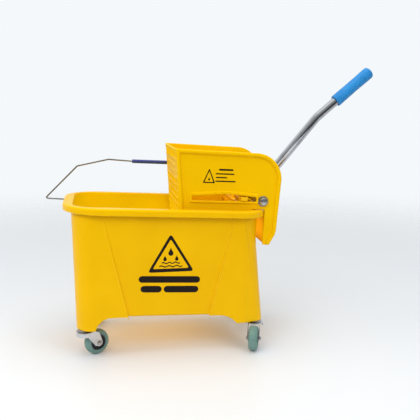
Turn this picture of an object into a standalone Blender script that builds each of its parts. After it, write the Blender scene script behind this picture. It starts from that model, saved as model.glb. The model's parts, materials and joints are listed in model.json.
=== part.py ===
"""Mop bucket on four swivel casters, with a carrying bail and a lever wringer that hangs on its back rim.

Metres, +Z up. +X points to the back of the bucket, where the lever is, and the floor is Z = 0.
The bucket is drawn about its own centre, and one empty then moves everything so that the
origin lies under the middle of the whole object.
"""
import math

import bmesh
import bpy
from mathutils import Matrix, Vector

# ---- Driving dimensions -------------------------------------------------------------------
ORIGIN_SHIFT_X = -0.1222        # from the bucket's centre to the middle of the whole object
ORIGIN_SHIFT_Y = 0.0091
GAP = 0.0003                    # between pieces that touch
SIDES = ((-1, "near"), (1, "far"))

# Bucket. Front is at -X, back at +X.
RIM_HALF_LENGTH = 0.2335
RIM_HALF_WIDTH = 0.136
RIM_CORNER = 0.065              # in plan, at the back
RIM_FRONT_CORNER = 0.086
RIM_MID_HEIGHT = 0.3453         # rim top above the bucket's centre
RIM_SLOPE = 0.0459              # the rim falls towards the back
RIM_DEPTH = 0.016
SKIN = 0.004                    # wall thickness
FLANGE_SKIN = 0.003
# The tub's outside in plan, from its underside up: front, back, half width, corner radius
TUB_FOOT = (-0.1970, 0.1990, 0.1080, 0.036)
TUB_BEND = (-0.2030, 0.2050, 0.1140, 0.042)
TUB_WAIST = (-0.2085, 0.2124, 0.1170, 0.046)
TUB_NECK = (-0.2145, 0.2183, 0.1200, 0.050)
BEND_RISE = 0.006
WAIST_HEIGHT = 0.216
TUB_BOTTOM = 0.0900             # underside below the bucket's centre
BASE_SLOPE = 0.0325             # the underside falls towards the back too
ARCH_RISE = 0.0025              # the arches between the legs cut this far into the underside
END_ARCH_RISE = 0.0015
FLOOR_RISE = 0.0070             # inside floor above the underside
LEG_BOTTOM = 0.0665
LEG_SIDE = 0.1195               # half the width over the legs
LEG_TOP = 0.330
CORNER_STEPS = 5

# Casters
WHEEL_RADIUS = 0.0295
WHEEL_WIDTH = 0.022
WHEEL_TRAIL = 0.0290
HUB_RADIUS = 0.0185
AXLE_RADIUS = 0.0030
FORK_INNER = 0.0125             # half the space between the fork's cheeks
FORK_SHEET = 0.0020
CROWN_RADIUS = 0.0205
CROWN_TOP = 0.0624
CROWN_BOTTOM = 0.0600
RACE_RADIUS = 0.0190
STEM_RADIUS = 0.0055
STEM_TOP = 0.090
SLEEVE_RADIUS = 0.0080
# name, swivel axis x and y, direction in which the wheel trails
CASTERS = (
    ("front_near", -0.1900, -0.0960, math.radians(30.0)),
    ("rear_near", 0.2120, -0.0970, math.radians(-109.0)),
    ("front_far", -0.1900, 0.0960, math.radians(32.0)),
    ("rear_far", 0.2120, 0.0970, math.radians(12.0)),
)

# Bail: a bent wire that turns on an axis along the far side of the rim
BAIL_AXIS_Y = 0.1200
BAIL_AXIS_Z = 0.3233
BAIL_LEAN = math.radians(3.5)   # towards the wringer, which it rests beside
BAIL_WIRE = 0.0020
BAIL_EAR = 0.1800
BAIL_TIP = 0.1670
EAR_OUTER = 0.1255
BAIL_CORNER = (0.2865, 0.0025)
BAIL_SHOULDER = (0.2080, 0.0880)
BAIL_TOP_BEND = (0.1306, 0.1078)
BAIL_TOP = 0.1052
BAIL_GRIP_HALF = 0.0705
BAIL_GRIP_RADIUS = 0.0048
BAIL_BEND_RADIUS = 0.0040

# Wringer, in a frame at the lever's pivot whose x runs along the rim
PIVOT_X = 0.225
PIVOT_Z = 0.355
WRINGER_TILT = math.atan(RIM_SLOPE)
CHEEK_INNER = 0.0970
CHEEK_OUTER = 0.1000
CHEEK_EDGE = 0.1060             # outer face of the raised border
BORDER_WIDTH = 0.0090
CHEEK_TOP = 0.1115
CHEEK_FRONT_RISE = 0.0030       # the top edge rises this much more at the front
CHEEK_FRONT_TOP = -0.2100
FRONT_SLOPE = 0.1057
CORNER_RADIUS = 0.0610
CHEEK_BACK = 0.0400
SKIRT_BACK = 0.0346
SKIRT_KNEE = -0.0785
SKIRT_TOE = 0.0200
SKIRT_BOTTOM = -0.1040
SADDLE_FRONT = -0.0240          # the notch that hooks over the back rim
SADDLE_BACK = 0.0052
SADDLE_TOP = -0.0200 + GAP
BASKET_BOTTOM = -0.1150
BASKET_FLOOR = -0.1110
FRONT_SHEET = 0.0040
SLOT_FRONT = -0.1685
SLOT_BACK = -0.0165
SLOT_LOW = -0.0015
SLOT_HIGH = 0.0095
BACK_PLATE = (0.0108, 0.0142)
BACK_PLATE_TOP = -0.0240
DRAIN_ROWS = 7
DRAIN_PITCH = 0.0240
DRAIN_WIDTH = 0.0060

# Press: a plate pushed by two crank pins that run in cam slots
CRANK_RADIUS = 0.100
CRANK_REST = math.radians(75.0)     # pin below the forward direction at rest
LEVER_SWING = math.radians(66.0)
PRESS_TRAVEL = 0.080
PRESS_RATE = PRESS_TRAVEL / LEVER_SWING
PLATE_FRONT = -0.0560
PLATE_BACK = -0.0520
PLATE_HALF_WIDTH = 0.0945
PLATE_BOTTOM = -0.1085
PLATE_TOP = 0.0800
LUG_INNER = 0.0580
LUG_OUTER = 0.0640
CRANK_PIN = 0.0040
CAM_HALF_WIDTH = 0.0044
ARM_INNER = 0.0670
ARM_OUTER = 0.0730
ARM_HALF_WIDTH = 0.0070
ARM_ELBOW = (-0.0330, -0.0220)
TORQUE_TUBE = 0.0115
TORQUE_HALF = 0.0780
ROD_RADIUS = 0.0060
ROD_HOLE = 0.0065
WASHER_RADIUS = 0.0125
NUT_RADIUS = 0.0100
SHOE_FRONT = -0.0530
SHOE_BACK = -0.0370

# Lever
LEVER_ANGLE = math.radians(50.05) + WRINGER_TILT
LEVER_BEND_ANGLE = math.radians(40.1) + WRINGER_TILT
LEVER_START = 0.0155
LEVER_BEND = 0.2497
LEVER_UPPER = 0.1794
LEVER_BEND_RADIUS = 0.085
TUBE_RADIUS = 0.0110
TUBE_BORE = 0.0095
SOCKET_RADIUS = 0.0142
SOCKET_BORE = 0.0114
SOCKET_END = 0.0580
SOCKET_BOLT = 0.0420
GRIP_LENGTH = 0.117
GRIP_RADIUS = 0.0152
GRIP_BORE = 0.0114


# ---- Tools --------------------------------------------------------------------------------
def clear_scene():
    for item in list(bpy.data.objects):
        bpy.data.objects.remove(item, do_unlink=True)


def finish_material(name, colour, roughness, metallic=0.0):
    made = bpy.data.materials.new(name)
    made.use_nodes = True
    shader = made.node_tree.nodes["Principled BSDF"]
    shader.inputs["Base Color"].default_value = (*colour, 1.0)
    shader.inputs["Roughness"].default_value = roughness
    shader.inputs["Metallic"].default_value = metallic
    made.diffuse_color = (*colour, 1.0)
    return made


def make_empty(name, parent=None, location=(0, 0, 0), rotation=(0, 0, 0)):
    empty = bpy.data.objects.new(name, None)
    bpy.context.scene.collection.objects.link(empty)
    empty.parent = parent
    empty.location = location
    empty.rotation_euler = rotation
    return empty


def make_object(name, bm, smooth_angle=35.0):
    bmesh.ops.recalc_face_normals(bm, faces=bm.faces)
    mesh = bpy.data.meshes.new(name)
    bm.to_mesh(mesh)
    bm.free()
    mesh.shade_smooth()
    mesh.set_sharp_from_angle(angle=math.radians(smooth_angle))
    made = bpy.data.objects.new(name, mesh)
    bpy.context.scene.collection.objects.link(made)
    return made


def dress(piece, coat, parent, location=(0, 0, 0), rotation=(0, 0, 0)):
    """Give a finished piece its material and its place."""
    piece.data.materials.clear()
    piece.data.materials.append(coat)
    piece.parent = parent
    piece.location = location
    piece.rotation_euler = rotation
    return piece


def combine(target, tool, operation="DIFFERENCE"):
    """Cut tool from target, or join it on, and remove tool."""
    step = target.modifiers.new(operation.lower(), "BOOLEAN")
    step.operation = operation
    step.solver = "EXACT"
    step.object = tool
    bpy.context.view_layer.update()
    graph = bpy.context.evaluated_depsgraph_get()
    mesh = bpy.data.meshes.new_from_object(target.evaluated_get(graph))
    target.modifiers.clear()
    target.data = mesh
    bpy.data.objects.remove(tool, do_unlink=True)
    return target


def loft(bm, rings, closed=False):
    """Skin equal rings of points; the first and last are capped unless the loft closes on itself."""
    rows = [[bm.verts.new(point) for point in ring] for ring in rings]
    pairs = list(zip(rows, rows[1:]))
    if closed:
        pairs.append((rows[-1], rows[0]))
    for low, high in pairs:
        count = len(low)
        for i in range(count):
            j = (i + 1) % count
            bm.faces.new((low[i], low[j], high[j], high[i]))
    if not closed:
        bm.faces.new(rows[0])
        bm.faces.new(rows[-1])


def corner_arc(centre, radius, start, end, steps):
    """Points on an arc, both ends included; angles in degrees."""
    points = []
    for i in range(steps + 1):
        angle = math.radians(start + (end - start) * i / steps)
        points.append((centre[0] + radius * math.cos(angle), centre[1] + radius * math.sin(angle)))
    return points


def rounded_box_ring(front, back, half_width, radius, height, front_radius=None):
    """A rounded rectangle in plan; height is a function of x."""
    outline = []
    bow = radius if front_radius is None else front_radius
    corners = (
        (back - radius, half_width - radius, radius, 0),
        (front + bow, half_width - bow, bow, 90),
        (front + bow, -half_width + bow, bow, 180),
        (back - radius, -half_width + radius, radius, 270),
    )
    for x, y, bend, start in corners:
        outline += corner_arc((x, y), bend, start, start + 90, CORNER_STEPS)
    return [(x, y, height(x)) for x, y in outline]


def level(z):
    return lambda x: z


def rim_height(drop):
    """Height of a plane that lies drop below the rim's top."""
    return lambda x: RIM_MID_HEIGHT - RIM_SLOPE * x - drop


def base_height(rise):
    """Height of a plane that lies rise above the tub's underside."""
    return lambda x: TUB_BOTTOM - BASE_SLOPE * x + rise


def prism_xz(name, outline, low_y, high_y):
    """A solid whose side view is outline, from low_y to high_y."""
    bm = bmesh.new()
    loft(bm, [[(x, low_y, z) for x, z in outline], [(x, high_y, z) for x, z in outline]])
    return make_object(name, bm)


def block(name, low, high):
    outline = ((low[0], low[2]), (high[0], low[2]), (high[0], high[2]), (low[0], high[2]))
    return prism_xz(name, outline, low[1], high[1])


def circle_ring(radius, sides, along, turn):
    """A ring of points round an axis; along is the distance on it, turn places the ring."""
    ring = []
    for i in range(sides):
        angle = 2 * math.pi * i / sides
        ring.append(turn @ Vector((radius * math.cos(angle), radius * math.sin(angle), along)))
    return ring


def lathe(name, profile, sides, turn=Matrix(), closed=True):
    """Turn a profile of (radius, distance along the axis) pairs about local Z, then apply turn.

    closed: the profile is a loop, as for a ring; otherwise its ends are capped flat.
    """
    bm = bmesh.new()
    loft(bm, [circle_ring(radius, sides, along, turn) for radius, along in profile], closed)
    return make_object(name, bm)


ALONG_Y = Matrix.Rotation(math.radians(-90), 4, "X")


def rod_y(name, radius, low_y, high_y, sides=16, centre=(0, 0)):
    place = Matrix.Translation((centre[0], 0, centre[1])) @ ALONG_Y
    return lathe(name, ((radius, low_y), (radius, high_y)), sides, place, closed=False)


def rod_z(name, radius, low_z, high_z, sides=16, centre=(0, 0)):
    place = Matrix.Translation((centre[0], centre[1], 0))
    return lathe(name, ((radius, low_z), (radius, high_z)), sides, place, closed=False)


def filleted_path(points, radius, steps):
    """Replace each inner corner of a path by an arc-like curve of about the given radius."""
    path = [Vector(points[0])]
    for before, corner, after in zip(points, points[1:], points[2:]):
        corner = Vector(corner)
        back = (Vector(before) - corner).normalized()
        ahead = (Vector(after) - corner).normalized()
        half_turn = (math.pi - back.angle(ahead)) / 2
        reach = radius * math.tan(half_turn)
        start = corner + back * reach
        end = corner + ahead * reach
        for i in range(steps + 1):
            t = i / steps
            path.append(start * (1 - t) ** 2 + corner * 2 * t * (1 - t) + end * t ** 2)
    path.append(Vector(points[-1]))
    return path


def sweep_rings(path, radius, sides, side_vector):
    """Rings of points across a path that lies in the plane normal to side_vector."""
    rings = []
    side = Vector(side_vector).normalized()
    for i, point in enumerate(path):
        behind = path[max(i - 1, 0)]
        before = path[min(i + 1, len(path) - 1)]
        heading = (before - behind).normalized()
        up = side.cross(heading)
        ring = []
        for k in range(sides):
            angle = 2 * math.pi * k / sides
            ring.append(point + side * radius * math.cos(angle) + up * radius * math.sin(angle))
        rings.append(ring)
    return rings


def mirror_y(outline_piece):
    """A copy of a piece on the other side of the middle plane."""
    bm = bmesh.new()
    bm.from_mesh(outline_piece.data)
    bmesh.ops.scale(bm, vec=(1, -1, 1), verts=bm.verts)
    return make_object(outline_piece.name + "_far", bm)


# ---- Bucket -------------------------------------------------------------------------------
def tub_ring(plan, height, inset=0.0):
    """One outline of the tub; inset by the wall's thickness it is an outline of the space inside."""
    front, back, half_width, corner = plan
    return rounded_box_ring(front + inset, back - inset, half_width - inset, corner - inset, height)


def rim_ring(inset, drop):
    """One outline of the rim flange, inset all round, at a distance below the rim's top."""
    return rounded_box_ring(-RIM_HALF_LENGTH + inset, RIM_HALF_LENGTH - inset, RIM_HALF_WIDTH - inset,
                            RIM_CORNER - inset, rim_height(drop), RIM_FRONT_CORNER - inset)


def tub_shell():
    """The tub's outside with its turned-down rim flange, still solid."""
    soft = 0.0025
    rings = [
        tub_ring(TUB_FOOT, base_height(0)),
        tub_ring(TUB_BEND, base_height(BEND_RISE)),
        tub_ring(TUB_WAIST, level(WAIST_HEIGHT)),
        tub_ring(TUB_NECK, rim_height(FLANGE_SKIN)),
        rim_ring(FLANGE_SKIN, FLANGE_SKIN),
        rim_ring(FLANGE_SKIN, RIM_DEPTH),
        rim_ring(0, RIM_DEPTH),
        rim_ring(0, soft),
        rim_ring(soft, 0),
    ]
    bm = bmesh.new()
    loft(bm, rings)
    return make_object("bucket", bm)


def leg_at(outline_low, outline_high, name):
    """A corner leg: it carries its full width at the floor end and dies into the tub at the top."""
    bm = bmesh.new()
    low = [(x, y, LEG_BOTTOM) for x, y in outline_low]
    high = [(x, y, LEG_TOP) for x, y in outline_high]
    loft(bm, [low, high])
    return make_object(name, bm)


def front_leg(side):
    inset = 0.060
    low = corner_arc((-0.2095 + 0.040, LEG_SIDE - 0.040), 0.040, 180, 90, CORNER_STEPS)
    high = corner_arc((-0.2140 + 0.047, LEG_SIDE - 0.047), 0.047, 180, 90, CORNER_STEPS)
    low = [(-0.2095, inset)] + low + [(-0.0857, LEG_SIDE), (-0.0857, inset)]
    high = [(-0.2140, inset)] + high + [(-0.1447, LEG_SIDE), (-0.1447, inset)]
    return leg_at([(x, side * y) for x, y in low], [(x, side * y) for x, y in high], "front_leg")


def rear_leg(side):
    """The back corner is cut by a slanted facet, so that it flares out below the tub."""
    inset = 0.060
    low = corner_arc((0.2290 - 0.022, 0.1135 - 0.022), 0.022, 0, 72, CORNER_STEPS)
    high = corner_arc((0.2080 - 0.040, 0.1170 - 0.040), 0.040, 0, 72, CORNER_STEPS)
    low = [(0.2290, inset)] + low + [(0.1800, LEG_SIDE), (0.0905, LEG_SIDE), (0.0905, inset)]
    high = [(0.2080, inset)] + high + [(0.1755, LEG_SIDE), (0.1550, LEG_SIDE), (0.1550, inset)]
    return leg_at([(x, side * y) for x, y in low], [(x, side * y) for x, y in high], "rear_leg")


def bail_ear(end):
    """A boss under the rim's far corner that the bail's wire turns in."""
    x = end * BAIL_EAR
    z = BAIL_AXIS_Z - RIM_SLOPE * x
    ear = block("ear", (x - 0.008, 0.092, z - 0.0075), (x + 0.008, EAR_OUTER, z + 0.0120))
    return ear


def build_bucket(coat, parent):
    bucket = tub_shell()
    hollow = tub_hollow()
    for side in (-1, 1):
        for leg in (front_leg(side), rear_leg(side)):
            combine(bucket, leg, "UNION")
    for end in (-1, 1):
        combine(bucket, bail_ear(end), "UNION")
    combine(bucket, hollow)
    combine(bucket, side_arch())
    combine(bucket, end_arch())
    combine(bucket, bail_hole())
    for _, x, y, _ in CASTERS:
        combine(bucket, rod_z("socket", SLEEVE_RADIUS + GAP, 0.050, STEM_TOP + 0.001, 16, (x, y)))
    return dress(bucket, coat, parent)


def side_arch():
    """The space between the front and the back legs."""
    roof = base_height(ARCH_RISE)
    outline = ((-0.168, 0.050), (-0.163, 0.078), (-0.153, 0.090), (-0.132, roof(-0.132)),
               (0.128, roof(0.128)), (0.147, 0.082), (0.166, 0.064), (0.170, 0.050))
    return prism_xz("side_arch", outline, -0.150, 0.150)


def end_arch():
    """The space between the near and the far legs, under a roof that slopes as the tub does."""
    reach = 0.260
    rings = []
    for x in (-reach, reach):
        roof = base_height(END_ARCH_RISE)(x)
        rings.append([(x, -0.072, 0.040), (x, -0.066, roof - 0.0135), (x, -0.054, roof),
                      (x, 0.054, roof), (x, 0.066, roof - 0.0135), (x, 0.072, 0.040)])
    bm = bmesh.new()
    loft(bm, rings)
    return make_object("end_arch", bm)


def tub_hollow():
    """The space inside the tub, carried on past the rim."""
    rings = [
        tub_ring(TUB_FOOT, base_height(FLOOR_RISE), SKIN),
        tub_ring(TUB_BEND, base_height(FLOOR_RISE + BEND_RISE + 0.002), SKIN),
        tub_ring(TUB_WAIST, level(WAIST_HEIGHT), SKIN),
        tub_ring(TUB_NECK, rim_height(0), SKIN),
        tub_ring(TUB_NECK, rim_height(-0.010), SKIN),
    ]
    bm = bmesh.new()
    loft(bm, rings)
    return make_object("hollow", bm)


def bail_hole():
    """One long bore along the bail's axis, through both ears."""
    place = (Matrix.Translation((0, BAIL_AXIS_Y, BAIL_AXIS_Z))
             @ Matrix.Rotation(WRINGER_TILT, 4, "Y") @ Matrix.Rotation(math.radians(90), 4, "Y"))
    reach = 0.260
    radius = BAIL_WIRE + 0.0006
    return lathe("bail_hole", ((radius, -reach), (radius, reach)), 12, place, closed=False)


# ---- Bail ---------------------------------------------------------------------------------
def build_bail(wire_coat, grip_coat, parent):
    half = [(BAIL_TIP, 0), (BAIL_EAR + 0.018, 0), BAIL_CORNER, BAIL_SHOULDER, BAIL_TOP_BEND,
            (BAIL_GRIP_HALF, BAIL_TOP)]
    points = [(-x, 0, z) for x, z in half] + [(x, 0, z) for x, z in reversed(half)]
    path = filleted_path(points, BAIL_BEND_RADIUS, 3)
    bm = bmesh.new()
    loft(bm, sweep_rings(path, BAIL_WIRE, 8, (0, 1, 0)))
    dress(make_object("bail_wire", bm), wire_coat, parent)
    bore = BAIL_WIRE + GAP + 0.0002
    profile = ((bore, -BAIL_GRIP_HALF), (BAIL_GRIP_RADIUS, -BAIL_GRIP_HALF),
               (BAIL_GRIP_RADIUS, BAIL_GRIP_HALF), (bore, BAIL_GRIP_HALF))
    place = Matrix.Translation((0, 0, BAIL_TOP)) @ Matrix.Rotation(math.radians(90), 4, "Y")
    dress(lathe("bail_grip", profile, 12, place), grip_coat, parent)


# ---- Casters ------------------------------------------------------------------------------
def caster_stem():
    """Stem with a thrust disc, fixed in the leg."""
    top = LEG_BOTTOM - GAP
    low = CROWN_TOP + GAP
    profile = ((RACE_RADIUS - 0.0010, low), (RACE_RADIUS, low + 0.0010), (RACE_RADIUS, top - 0.0008),
               (RACE_RADIUS - 0.0008, top), (STEM_RADIUS, top), (STEM_RADIUS, STEM_TOP - 0.002),
               (STEM_RADIUS - 0.0015, STEM_TOP))
    return lathe("stem", profile, 20, closed=False)


def caster_fork():
    """Pressed-steel fork: a round crown, a down-turned lip ahead and two cheeks to the axle."""
    fork = lathe("fork", ((CROWN_RADIUS, CROWN_BOTTOM), (CROWN_RADIUS, CROWN_TOP)), 24, closed=False)
    lip_bottom = 0.0550
    lip = lathe("lip", ((CROWN_RADIUS - FORK_SHEET, lip_bottom), (CROWN_RADIUS, lip_bottom),
                        (CROWN_RADIUS, CROWN_BOTTOM + 0.001),
                        (CROWN_RADIUS - FORK_SHEET, CROWN_BOTTOM + 0.001)), 24)
    combine(lip, block("lip_cut", (-0.001, -0.030, 0.050), (0.030, 0.030, 0.070)))
    combine(fork, lip, "UNION")
    outline = [(-0.0060, CROWN_TOP - 0.0006), (-0.0060, 0.0560), (0.0185, 0.0240)]
    outline += corner_arc((WHEEL_TRAIL, WHEEL_RADIUS), 0.0085, 225, 375, 5)
    outline += [(0.0290, 0.0560), (0.0150, CROWN_TOP - 0.0006)]
    for low_y in (-FORK_INNER - FORK_SHEET, FORK_INNER):
        combine(fork, prism_xz("cheek", outline, low_y, low_y + FORK_SHEET), "UNION")
    hole = rod_y("axle_hole", AXLE_RADIUS + 0.0004, -0.03, 0.03, 12, (WHEEL_TRAIL, WHEEL_RADIUS))
    return combine(fork, hole)


def caster_axle():
    """Bolt through the fork with a head at each end; its middle is the wheel's axis."""
    head = 0.0052
    face = FORK_INNER + FORK_SHEET + GAP
    end = face + 0.0030
    profile = ((head, -end), (head, -face), (AXLE_RADIUS, -face),
               (AXLE_RADIUS, face), (head, face), (head, end))
    return lathe("axle", profile, 12, ALONG_Y, closed=False)


def caster_hub():
    half = 0.0105
    bore = AXLE_RADIUS + 0.0004
    profile = ((bore, -half), (0.0070, -half), (0.0090, -half + 0.0030), (0.0150, -half + 0.0030),
               (HUB_RADIUS, -half + 0.0010), (HUB_RADIUS, half - 0.0010),
               (0.0150, half - 0.0030), (0.0090, half - 0.0030), (0.0070, half), (bore, half))
    return lathe("hub", profile, 20, ALONG_Y)


def caster_tyre():
    half = WHEEL_WIDTH / 2
    inner = HUB_RADIUS + 0.0005
    side = WHEEL_RADIUS - 0.0035
    shoulder = WHEEL_RADIUS - 0.0008
    profile = ((inner, -half + 0.0010), (side, -half), (shoulder, -half * 0.72),
               (WHEEL_RADIUS, -half * 0.30), (WHEEL_RADIUS, half * 0.30),
               (shoulder, half * 0.72), (side, half), (inner, half - 0.0010))
    return lathe("tyre", profile, 24, ALONG_Y)


def caster_sleeve():
    """Socket sleeve pressed in the leg, which grips the stem."""
    bore = STEM_RADIUS + GAP
    low = LEG_BOTTOM + 0.0006
    top = STEM_TOP - 0.0010
    profile = ((bore, low), (SLEEVE_RADIUS, low), (SLEEVE_RADIUS, top), (bore, top))
    return lathe("sleeve", profile, 16)


def build_caster(name, x, y, trail_angle, coats, parent):
    swivel = make_empty("swivel_" + name, parent, (x, y, 0), (0, 0, trail_angle))
    axle_place = (WHEEL_TRAIL, 0, WHEEL_RADIUS)
    pieces = (
        ("stem", caster_stem(), "zinc", (0, 0, 0)),
        ("fork", caster_fork(), "chrome", (0, 0, 0)),
        ("axle", caster_axle(), "zinc", axle_place),
        ("hub", caster_hub(), "black", axle_place),
        ("tyre", caster_tyre(), "tyre", axle_place),
        ("sleeve", caster_sleeve(), "zinc", (0, 0, 0)),
    )
    for kind, piece, coat, place in pieces:
        piece.name = "caster_" + name + "_" + kind
        dress(piece, coats[coat], swivel, place)


# ---- Wringer housing ----------------------------------------------------------------------
def front_x(z):
    """The wringer's front edge leans forward as it rises."""
    return CHEEK_FRONT_TOP + (CHEEK_TOP - z) * FRONT_SLOPE


def front_corner():
    """The front end of the cheeks' top edge."""
    top = CHEEK_TOP + CHEEK_FRONT_RISE
    return (front_x(top), top)


def cheek_outer_edge():
    """The exposed edge of a cheek, from the front's top round the back to the skirt's foot."""
    edge = [front_corner()]
    centre = (CHEEK_BACK - CORNER_RADIUS, CHEEK_TOP - CORNER_RADIUS)
    edge += corner_arc(centre, CORNER_RADIUS, 90, 0, 7)
    edge += [(SKIRT_BACK, SKIRT_KNEE), (SKIRT_TOE, SKIRT_BOTTOM)]
    return edge


def inner_edge(edge, width):
    """The same edge moved inwards by width, point by point."""
    moved = []
    for i, point in enumerate(edge):
        before = Vector(edge[max(i - 1, 0)])
        after = Vector(edge[min(i + 1, len(edge) - 1)])
        along = (after - before).normalized()
        moved.append((point[0] + along.y * width, point[1] - along.x * width))
    return moved


def cheek():
    outline = cheek_outer_edge()
    outline += [(SADDLE_BACK, SKIRT_BOTTOM), (SADDLE_BACK, SADDLE_TOP), (SADDLE_FRONT, SADDLE_TOP),
                (SADDLE_FRONT, BASKET_BOTTOM), (front_x(BASKET_BOTTOM), BASKET_BOTTOM)]
    panel = prism_xz("cheek_panel", outline, -CHEEK_OUTER, -CHEEK_INNER)
    edge = cheek_outer_edge()
    strip = edge + list(reversed(inner_edge(edge, BORDER_WIDTH)))
    border = prism_xz("cheek_border", strip, -CHEEK_EDGE, -CHEEK_INNER)
    combine(panel, border, "UNION")
    slot = block("slot", (SLOT_FRONT, -0.12, SLOT_LOW), (SLOT_BACK, -0.08, SLOT_HIGH))
    combine(panel, slot)
    combine(panel, rod_y("pivot_hole", ROD_HOLE, -0.12, -0.08, 16))
    return panel


def build_housing(coat, parent):
    housing = cheek()
    combine(housing, mirror_y(housing), "UNION")
    overlap = CHEEK_INNER + 0.001
    corner = front_corner()
    front = [corner, (corner[0] + FRONT_SHEET, corner[1]),
             (front_x(BASKET_BOTTOM) + FRONT_SHEET, BASKET_BOTTOM), (front_x(BASKET_BOTTOM), BASKET_BOTTOM)]
    combine(housing, prism_xz("front_wall", front, -overlap, overlap), "UNION")
    floor = [(front_x(BASKET_BOTTOM) + 0.001, BASKET_BOTTOM), (SADDLE_FRONT, BASKET_BOTTOM),
             (SADDLE_FRONT, BASKET_FLOOR), (front_x(BASKET_FLOOR) + 0.001, BASKET_FLOOR)]
    combine(housing, prism_xz("basket_floor", floor, -overlap, overlap), "UNION")
    plate = block("back_plate", (BACK_PLATE[0], -overlap, SKIRT_BOTTOM),
                  (BACK_PLATE[1], overlap, BACK_PLATE_TOP))
    combine(housing, plate, "UNION")
    for row in range(DRAIN_ROWS):
        y = (row - (DRAIN_ROWS - 1) / 2) * DRAIN_PITCH
        drain = block("drain", (-0.165, y - DRAIN_WIDTH / 2, -0.13), (-0.040, y + DRAIN_WIDTH / 2, -0.10))
        combine(housing, drain)
    housing.name = "wringer_housing"
    return dress(housing, coat, parent)


# ---- Press plate --------------------------------------------------------------------------
def cam_point(swing):
    """Where a crank pin meets the plate, in the plate's own place at rest."""
    angle = CRANK_REST - swing
    return (-CRANK_RADIUS * math.cos(angle) + PRESS_RATE * swing, -CRANK_RADIUS * math.sin(angle))


def cam_slot_outline():
    """The track of the pin, widened to a slot with round ends."""
    steps = 8
    track = [Vector(cam_point(LEVER_SWING * i / steps)) for i in range(steps + 1)]
    left = []
    right = []
    for i, point in enumerate(track):
        along = (track[min(i + 1, steps)] - track[max(i - 1, 0)]).normalized()
        across = Vector((-along.y, along.x)) * CAM_HALF_WIDTH
        left.append(point + across)
        right.append(point - across)
    outline = [tuple(point) for point in left]
    outline += round_end(track[-1], track[-1] - track[-2])
    outline += [tuple(point) for point in reversed(right)]
    outline += round_end(track[0], track[0] - track[1])
    return outline


def round_end(centre, outward):
    """The inner points of a half circle that closes the cam slot, on its left side first."""
    heading = math.degrees(math.atan2(outward.y, outward.x))
    return corner_arc(tuple(centre), CAM_HALF_WIDTH, heading + 90, heading - 90, 6)[1:-1]


def cam_lug(side):
    outline = ((PLATE_BACK - 0.001, -0.1045), (-0.0185, -0.1045), (-0.0120, -0.0300),
               (-0.0115, -0.0080), (-0.0200, -0.0040), (PLATE_BACK - 0.001, 0.0120))
    low, high = sorted((side * LUG_INNER, side * LUG_OUTER))
    return prism_xz("cam_lug", outline, low, high)


def build_press(coat, parent):
    plate = block("press_plate", (PLATE_FRONT, -PLATE_HALF_WIDTH, PLATE_BOTTOM),
                  (PLATE_BACK, PLATE_HALF_WIDTH, PLATE_TOP))
    roll = block("roll", (PLATE_BACK - 0.001, -PLATE_HALF_WIDTH, PLATE_TOP - 0.004),
                 (PLATE_BACK + 0.010, PLATE_HALF_WIDTH, PLATE_TOP))
    combine(plate, roll, "UNION")
    for side in (-1, 1):
        combine(plate, cam_lug(side), "UNION")
        low, high = sorted((side * (PLATE_HALF_WIDTH - 0.006), side * PLATE_HALF_WIDTH))
        pad = block("shoe_pad", (PLATE_BACK - 0.001, low, -0.010), (SHOE_BACK + 0.002, high, 0.018))
        combine(plate, pad, "UNION")
    combine(plate, prism_xz("cam_slot", cam_slot_outline(), -0.08, 0.08))
    dress(plate, coat, parent)
    for side, name in SIDES:
        low, high = sorted((side * (PLATE_HALF_WIDTH + GAP), side * 0.1040))
        shoe = block("guide_shoe_" + name, (SHOE_FRONT, low, SLOT_LOW + 0.0007),
                     (SHOE_BACK, high, SLOT_HIGH - 0.0007))
        dress(shoe, coat, parent)


# ---- Lever --------------------------------------------------------------------------------
def lever_direction(angle):
    return Vector((math.cos(angle), 0, math.sin(angle)))


def along_lever(angle, start=Vector((0, 0, 0))):
    """Places local Z along the lever's direction."""
    return Matrix.Translation(start) @ Matrix.Rotation(math.pi / 2 - angle, 4, "Y")


def crank_arm(side):
    """Dog-leg arm that passes in front of the back rim and carries one crank pin."""
    pin = Vector(cam_point(0))
    elbow = Vector(ARM_ELBOW)
    hub = Vector((0, 0))
    lean_a = (elbow - hub).normalized()
    lean_b = (pin - elbow).normalized()
    across_a = Vector((-lean_a.y, lean_a.x)) * ARM_HALF_WIDTH
    across_b = Vector((-lean_b.y, lean_b.x)) * ARM_HALF_WIDTH
    bend = (across_a + across_b).normalized() * ARM_HALF_WIDTH * 1.10
    start = math.degrees(math.atan2(across_b.y, across_b.x))
    outline = [hub - across_a, elbow - bend]
    outline += corner_arc(tuple(pin), ARM_HALF_WIDTH, start - 180, start, 6)
    outline += [elbow + bend, hub + across_a]
    low, high = sorted((side * ARM_INNER, side * ARM_OUTER))
    return prism_xz("crank_arm", [tuple(point) for point in outline], low, high)


def build_yoke(coat, parent):
    yoke = rod_y("crank_yoke", TORQUE_TUBE, -TORQUE_HALF, TORQUE_HALF, 20)
    place = along_lever(LEVER_ANGLE)
    socket = lathe("socket", ((SOCKET_RADIUS, 0.002), (SOCKET_RADIUS, SOCKET_END)), 20, place, closed=False)
    combine(yoke, socket, "UNION")
    for side in (-1, 1):
        combine(yoke, crank_arm(side), "UNION")
    bore = lathe("bore", ((SOCKET_BORE, LEVER_START - GAP), (SOCKET_BORE, 0.08)), 20, place, closed=False)
    combine(yoke, bore)
    combine(yoke, rod_y("rod_bore", ROD_HOLE, -0.10, 0.10, 16))
    combine(yoke, socket_bolt_hole())
    return dress(yoke, coat, parent)


def socket_bolt_centre():
    spot = lever_direction(LEVER_ANGLE) * SOCKET_BOLT
    return (spot.x, spot.z)


def socket_bolt_hole():
    return rod_y("bolt_hole", 0.0035, -0.03, 0.03, 12, socket_bolt_centre())


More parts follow.
